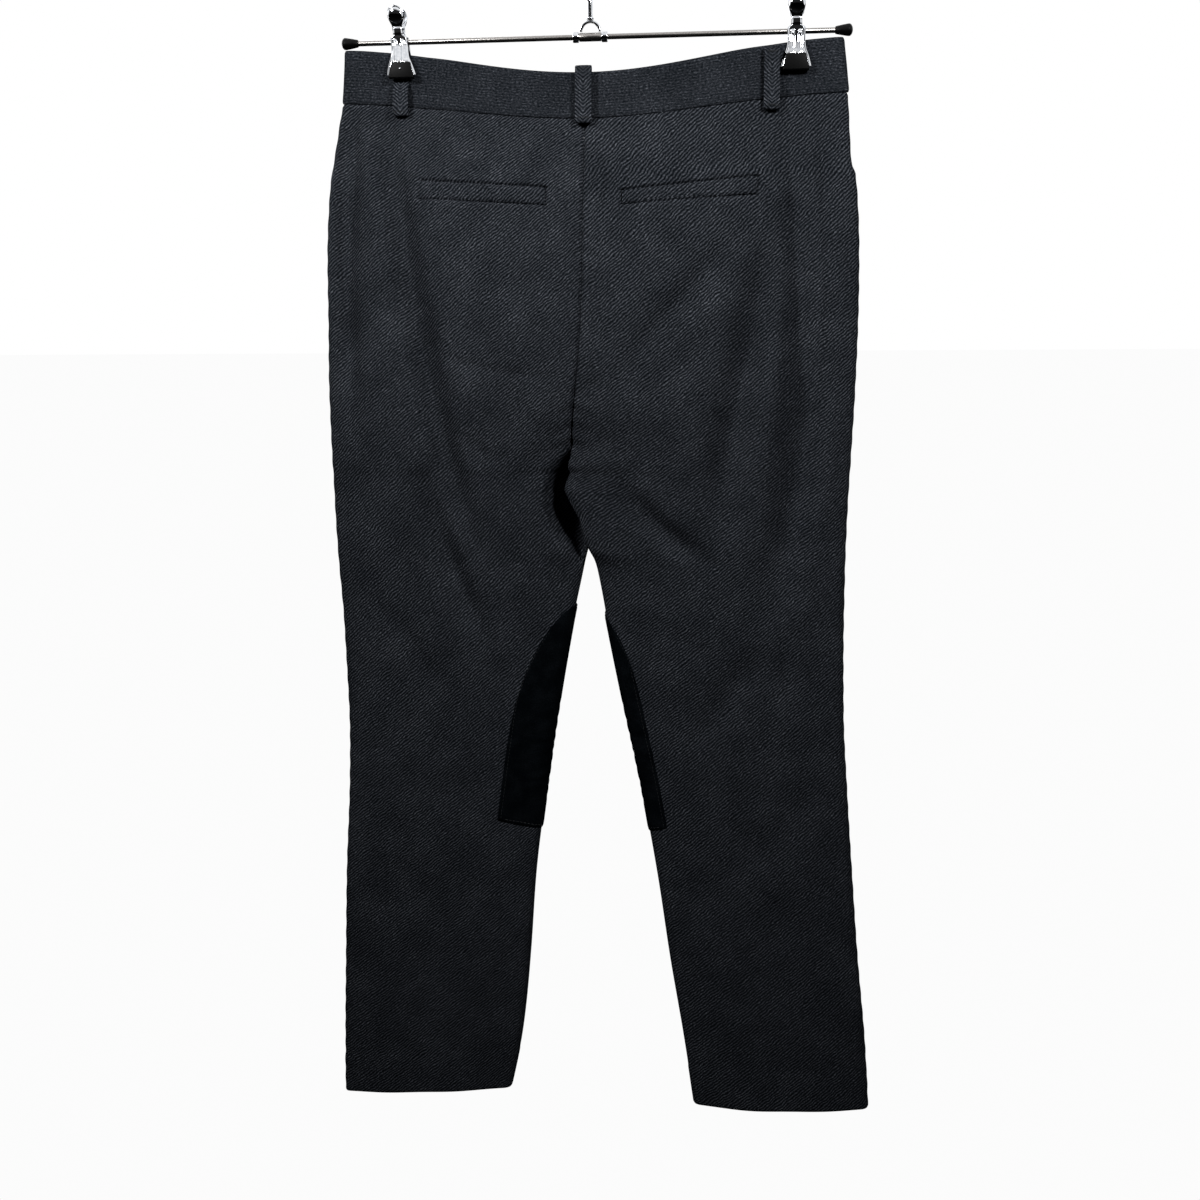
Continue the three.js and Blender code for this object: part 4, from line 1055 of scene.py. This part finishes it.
# Stitches end to end along a line of points, each lying in the cloth's surface.
def stitchLine(shape, points, outward):
    length, gap, width = (stitching[name] for name in ("length", "gap", "width"))
    points, outward = np.asarray(points), np.asarray(outward)
    run = np.concatenate(([0], np.cumsum(np.linalg.norm(np.diff(points, axis=0), axis=1))))
    count = int(run[-1] // (length + gap))
    for i in range(count):
        start, end = i * (length + gap), i * (length + gap) + length
        ends = [np.array([np.interp(t, run, points[:, k]) for k in range(3)]) for t in (start, end)]
        facing = [np.interp((start + end) / 2, run, outward[:, k]) for k in range(3)]
        addStitch(shape, (ends[0] + ends[1]) / 2, ends[1] - ends[0], facing, length, width)


def finishStitches(shape, name):
    finishPiece(settle(meshFrom(shape, name, thread), angle=80), "wool_twill")


for side in patches:
    sewn = bmesh.new()
    points = patchGrid(side, *gridOf(patchColumns, patchRows))[0]
    normals = gridNormals(points)
    raised = points + normals * stitching["lift"]
    inU = stitching["inset"] / (patches[side]["back"] + patches[side]["front"])
    columnLeft, columnRight = round(inU * patchColumns), round((1 - inU) * patchColumns)
    rowTop, rowLow = 3, patchRows - 2
    path = [(j, columnLeft) for j in range(rowLow, rowTop, -1)]
    path += [(rowTop, i) for i in range(columnLeft, columnRight)]
    path += [(j, columnRight) for j in range(rowTop, rowLow)]
    path += [(rowLow, i) for i in range(columnRight, columnLeft, -1)]
    rows, columns = np.array(path).T
    stitchLine(sewn, raised[rows, columns], normals[rows, columns])
    finishStitches(sewn, f"patch_{side}_stitches")

sewn = bmesh.new()
z = np.linspace(-170, fly["low"] + 5, 120)
x = flyEdge(z) + 4
points, normals = faceGrid("front", x, z, np.full(z.shape, 1.75))
stitchLine(sewn, points, normals)
finishStitches(sewn, "fly_stitches")

for side in sides:
    sewn = bmesh.new()
    length = waistLength(side)
    share = np.linspace(0.02, (mouth["width"] - 2) / length, 90)
    x, _, _, arc, _ = sectionAt(side, "front", share, np.full(share.shape, waistHeight))
    z = scoopHeight(mouth["low"] - 5, mouth["width"] + 5, arc, x)
    points, normals = faceGrid("front", sides[side] * x, z, np.full(z.shape, 0.25))
    stitchLine(sewn, points, normals)
    finishStitches(sewn, f"mouth_{side}_stitches")

# bar tacks hold the ends of the belt loops
for loop in loops:
    sewn = bmesh.new()
    line, _ = resample(strapLine(loop), 84)
    ends = [loop["low"] + 3.2] if loop["pressed"] else [loop["low"] + 3.2, loop["high"] - 3.2]
    _, normal = faceGrid(loop["face"], loop["x"], (loop["high"] + loop["low"]) / 2, 0.0)
    for level in ends:
        for i in range(9):
            x = loop["x"] + loop["width"] * (i / 8 - 0.5) * 0.72
            place, _ = faceGrid(loop["face"], x, level, strap["stand"] + strap["thick"] + 0.02)
            slant = Vector((0.5 if i % 2 else -0.5, 0, 1))
            addStitch(sewn, place, slant, normal, 2.2, 0.42)
    finishStitches(sewn, f"loop_{loop['name']}_tacks")
print("stitching")

# hanger

barHeight = -80
bar = {"radius": 2.15, "left": 204.6, "right": -214.3}
cap = {"length": 14, "neck": 3, "flare": 4.8, "bore": 8, "round": 3}
hook = {"x": -3, "wire": 2.3, "inside": 21, "neck": -54, "start": -0.6, "end": math.pi + 0.15}
ring = {"radius": 7.7, "wire": 1.3}
sleeve = {"half": 9, "outer": 3.4, "collar": 4.2, "collarHalf": 2.5, "gap": 0.3}


def makeTurned(name, profile, along, place, paint, slot, *nodes, steps=48):
    obj = settle(meshFrom(aimShape(spinProfile(profile, steps), along, place), name, paint), angle=40)
    finishPiece(obj, slot, *nodes)
    return obj


# Corners of a profile eased by a small chamfer, so that they catch the light.
def rodProfile(radius, half, ease):
    return [(0, -half), (radius - ease, -half), (radius - ease * 0.3, -half + ease * 0.3),
        (radius, -half + ease), (radius, half - ease), (radius - ease * 0.3, half - ease * 0.3),
        (radius - ease, half), (0, half)]


reach = (bar["left"] - bar["right"]) / 2 - (cap["length"] - cap["bore"] + 0.3)
makeTurned("hanger_rod", rodProfile(bar["radius"], reach, 0.4), (1, 0, 0),
    ((bar["left"] + bar["right"]) / 2, 0, barHeight), rod, "bar_steel", "hanger_bar")
makeTurned("ring_sleeve", rodProfile(sleeve["outer"], sleeve["half"], 0.4), (1, 0, 0),
    (hook["x"], 0, barHeight), rod, "bar_steel", "sleeve")
for side in sides:
    middle = sleeve["half"] + sleeve["gap"] + sleeve["collarHalf"]
    makeTurned(f"ring_collar_{side}", rodProfile(sleeve["collar"], sleeve["collarHalf"], 0.7), (1, 0, 0),
        (hook["x"] + sides[side] * middle, 0, barHeight), chrome, "bright_chrome", f"collar_{side}")
    dome = [(cap["flare"] * math.cos(a), cap["length"] - cap["round"] + cap["round"] * math.sin(a))
        for a in np.linspace(0, math.pi / 2, 9)]
    profile = [(0, 0.6), (cap["neck"] - 0.5, 0), (cap["neck"], 0.5),
        (cap["neck"] + 0.9, 5), (cap["flare"] - 0.15, 9.5), *dome[:-1], (0, cap["length"])]
    makeTurned(f"end_cap_{side}", profile, (sides[side], 0, 0),
        (bar[side] - sides[side] * cap["length"], 0, barHeight), rubber, "black_rubber", f"cap_{side}")


# Round wire along a path in the plane of the hanger.
def makeWire(name, path, radius, paint, slot, *nodes):
    data = bpy.data.curves.new(name, "CURVE")
    data.dimensions = "3D"
    data.bevel_depth = radius * mm
    data.bevel_resolution = 9
    data.use_fill_caps = True
    spline = data.splines.new("POLY")
    spline.points.add(len(path) - 1)
    for point, (x, z) in zip(spline.points, path):
        point.co = (x * mm, 0, z * mm, 1)
    obj = settle(placeObject(name, data))
    obj.data.materials.clear()
    obj.data.materials.append(paint)
    finishPiece(obj, slot, *nodes)


def arcPath(x, z, radius, start, end, count):
    return [(x + radius * math.cos(a), z + radius * math.sin(a)) for a in np.linspace(start, end, count)]


def hookPath(foot):
    bow = arcPath(hook["x"], -hook["inside"], hook["inside"] + hook["wire"], hook["start"], hook["end"], 60)
    joined, tangent = np.array(bow[0]), np.array((-math.sin(hook["start"]), math.cos(hook["start"])))
    neck = np.array((hook["x"], hook["neck"]))
    ends = neck, neck + (0, 9), joined - 12 * tangent, joined
    bend = []
    for t in np.linspace(0, 1, 24):
        weights = (1 - t) ** 3, 3 * t * (1 - t) ** 2, 3 * t * t * (1 - t), t ** 3
        bend.append(sum(w * np.array(p) for w, p in zip(weights, ends)))
    return [(hook["x"], foot), *map(tuple, bend[:-1]), *bow]


ringHeight = barHeight + sleeve["outer"] + sleeve["gap"] + 0.6
foot = ringHeight + ring["radius"] + ring["wire"] + 0.3
makeWire("ring_wire", arcPath(hook["x"], ringHeight, ring["radius"], 0, math.pi, 40), ring["wire"],
    chrome, "bright_chrome", "hook_ring")
makeWire("hook_wire", hookPath(foot), hook["wire"], chrome, "bright_chrome", "hook")
makeTurned("hook_flange", rodProfile(3.1, 0.6, 0.35), (0, 0, 1), (hook["x"], 0, foot + 0.7),
    chrome, "bright_chrome")
print("bar and hook")

# clips

plate = {
    "thick": 0.8, "rib": 1.0, "ribX": 2.95, "ribWidth": 1.35, "ribTop": 25.5, "ribLow": 47.5,
    "flange": 1.4, "dome": 2.2, "domeDown": 7.8, "domeRadius": 6.2, "length": 54.5,
    "columns": 48, "rows": 110,
}
plateShape = dict(zip(("down", "half", "out"), np.array([
    (0, 1.6, 8), (0.6, 3.3, 7.9), (1.8, 4.9, 7.8), (4, 6.2, 7.4), (7.5, 6.8, 6.8), (11, 6.2, 6.1),
    (13.6, 5.1, 5.6), (15.4, 4.3, 5.0), (16.4, 4.2, 4.5), (17.6, 4.2, 5.1), (21.4, 4.3, 5.0),
    (22.6, 4.5, 4.3), (23.6, 6.4, 4.3), (25, 7.1, 4.4), (29, 7.0, 4.3), (34, 7.0, 4.6),
    (40, 7.6, 5.6), (45, 9.3, 6.6), (49, 10.6, 6.9), (54.5, 12, 7),
], dtype=float).T))
boot = {"tall": 13, "inset": 1.2, "outer": 1.5, "bevel": 1.1}


def makePlate(side, face, back):
    clip = clips[side]
    u, v = gridOf(plate["columns"], plate["rows"])
    down = v * plate["length"]
    half = readColumn(plateShape["down"], plateShape["half"], down)
    x = mix(-half, half, u)
    ribs = smooth(plate["ribTop"], plate["ribTop"] + 3, down)
    ribs = ribs * (1 - smooth(plate["ribLow"] - 3, plate["ribLow"], down))
    bump = plate["rib"] * np.exp(-((np.abs(x) - plate["ribX"]) / plate["ribWidth"]) ** 4) * ribs
    fromDome = np.hypot(x, down - plate["domeDown"]) / plate["domeRadius"]
    dome = plate["dome"] * np.sqrt(np.maximum(0, 1 - np.minimum(1, fromDome) ** 2))
    turned = plate["flange"] * smooth(half - 1.7, half, np.abs(x)) * smooth(14, 20, down)
    edge = 0.8 * smooth(half - 1.2, half, np.abs(x)) * (1 - smooth(12, 16, down))
    out = readColumn(plateShape["down"], plateShape["out"], down) + back * smooth(28, 44, down)
    y = out + bump + dome - turned - edge + plate["thick"]
    points = np.stack((clip["x"] + x + clip["tilt"] * (1 - v), faces[face] * y, clip["top"] - down), axis=-1)
    obj = makeSheet(f"clip_{side}_{face}_plate", points, weaveOf(x, -down), chrome, plate["thick"],
        softEdge=0.2)
    finishPiece(obj, "bright_chrome", f"clip_{side}_{face}")


def makeBoot(side, face, back):
    clip = clips[side]
    inner = pinch["depth"] + seamGap + back
    outer = plateShape["out"][-1] + back + plate["thick"] + boot["outer"]
    block = bmesh.new()
    bmesh.ops.create_cube(block, size=1)
    for corner in block.verts:
        across, deep, up = corner.co
        z = clip["tipLow"] + boot["tall"] * (up + 0.5)
        level = np.array(clip["top"] - z)
        half = float(readColumn(plateShape["down"], plateShape["half"], level)) - boot["inset"]
        y = mix(inner, outer - (0.5 if up > 0 else 0.0), deep + 0.5)
        corner.co = Vector((clip["x"] + 2 * across * half, faces[face] * y, z)) * mm
    bmesh.ops.recalc_face_normals(block, faces=block.faces)
    bmesh.ops.bevel(block, geom=block.edges[:], offset=boot["bevel"] * mm, segments=4, profile=0.5,
        affect="EDGES", material=-1)
    obj = settle(meshFrom(block, f"boot_{side}_{face}_rubber", rubber), angle=60)
    finishPiece(obj, "black_rubber", f"boot_{side}_{face}")
    return outer


for side, clip in clips.items():
    for face in faces:
        back = strap["thick"] + strap["seat"] if clip["overLoop"] and face == "back" else 0
        makePlate(side, face, back)
        outer = makeBoot(side, face, back)
        if clip["overLoop"] and face == "back":
            rivet = [(0, 0.5), (0.5, 0.42), (0.85, 0.15), (0.95, -0.4), (0, -0.4)]
            makeTurned("boot_left_back_rivet", rivet, (0, 1, 0),
                (clip["x"] + 0.5, outer, clip["tipLow"] + 7.5),
                chrome, "bright_chrome", steps=20)
print("clips")
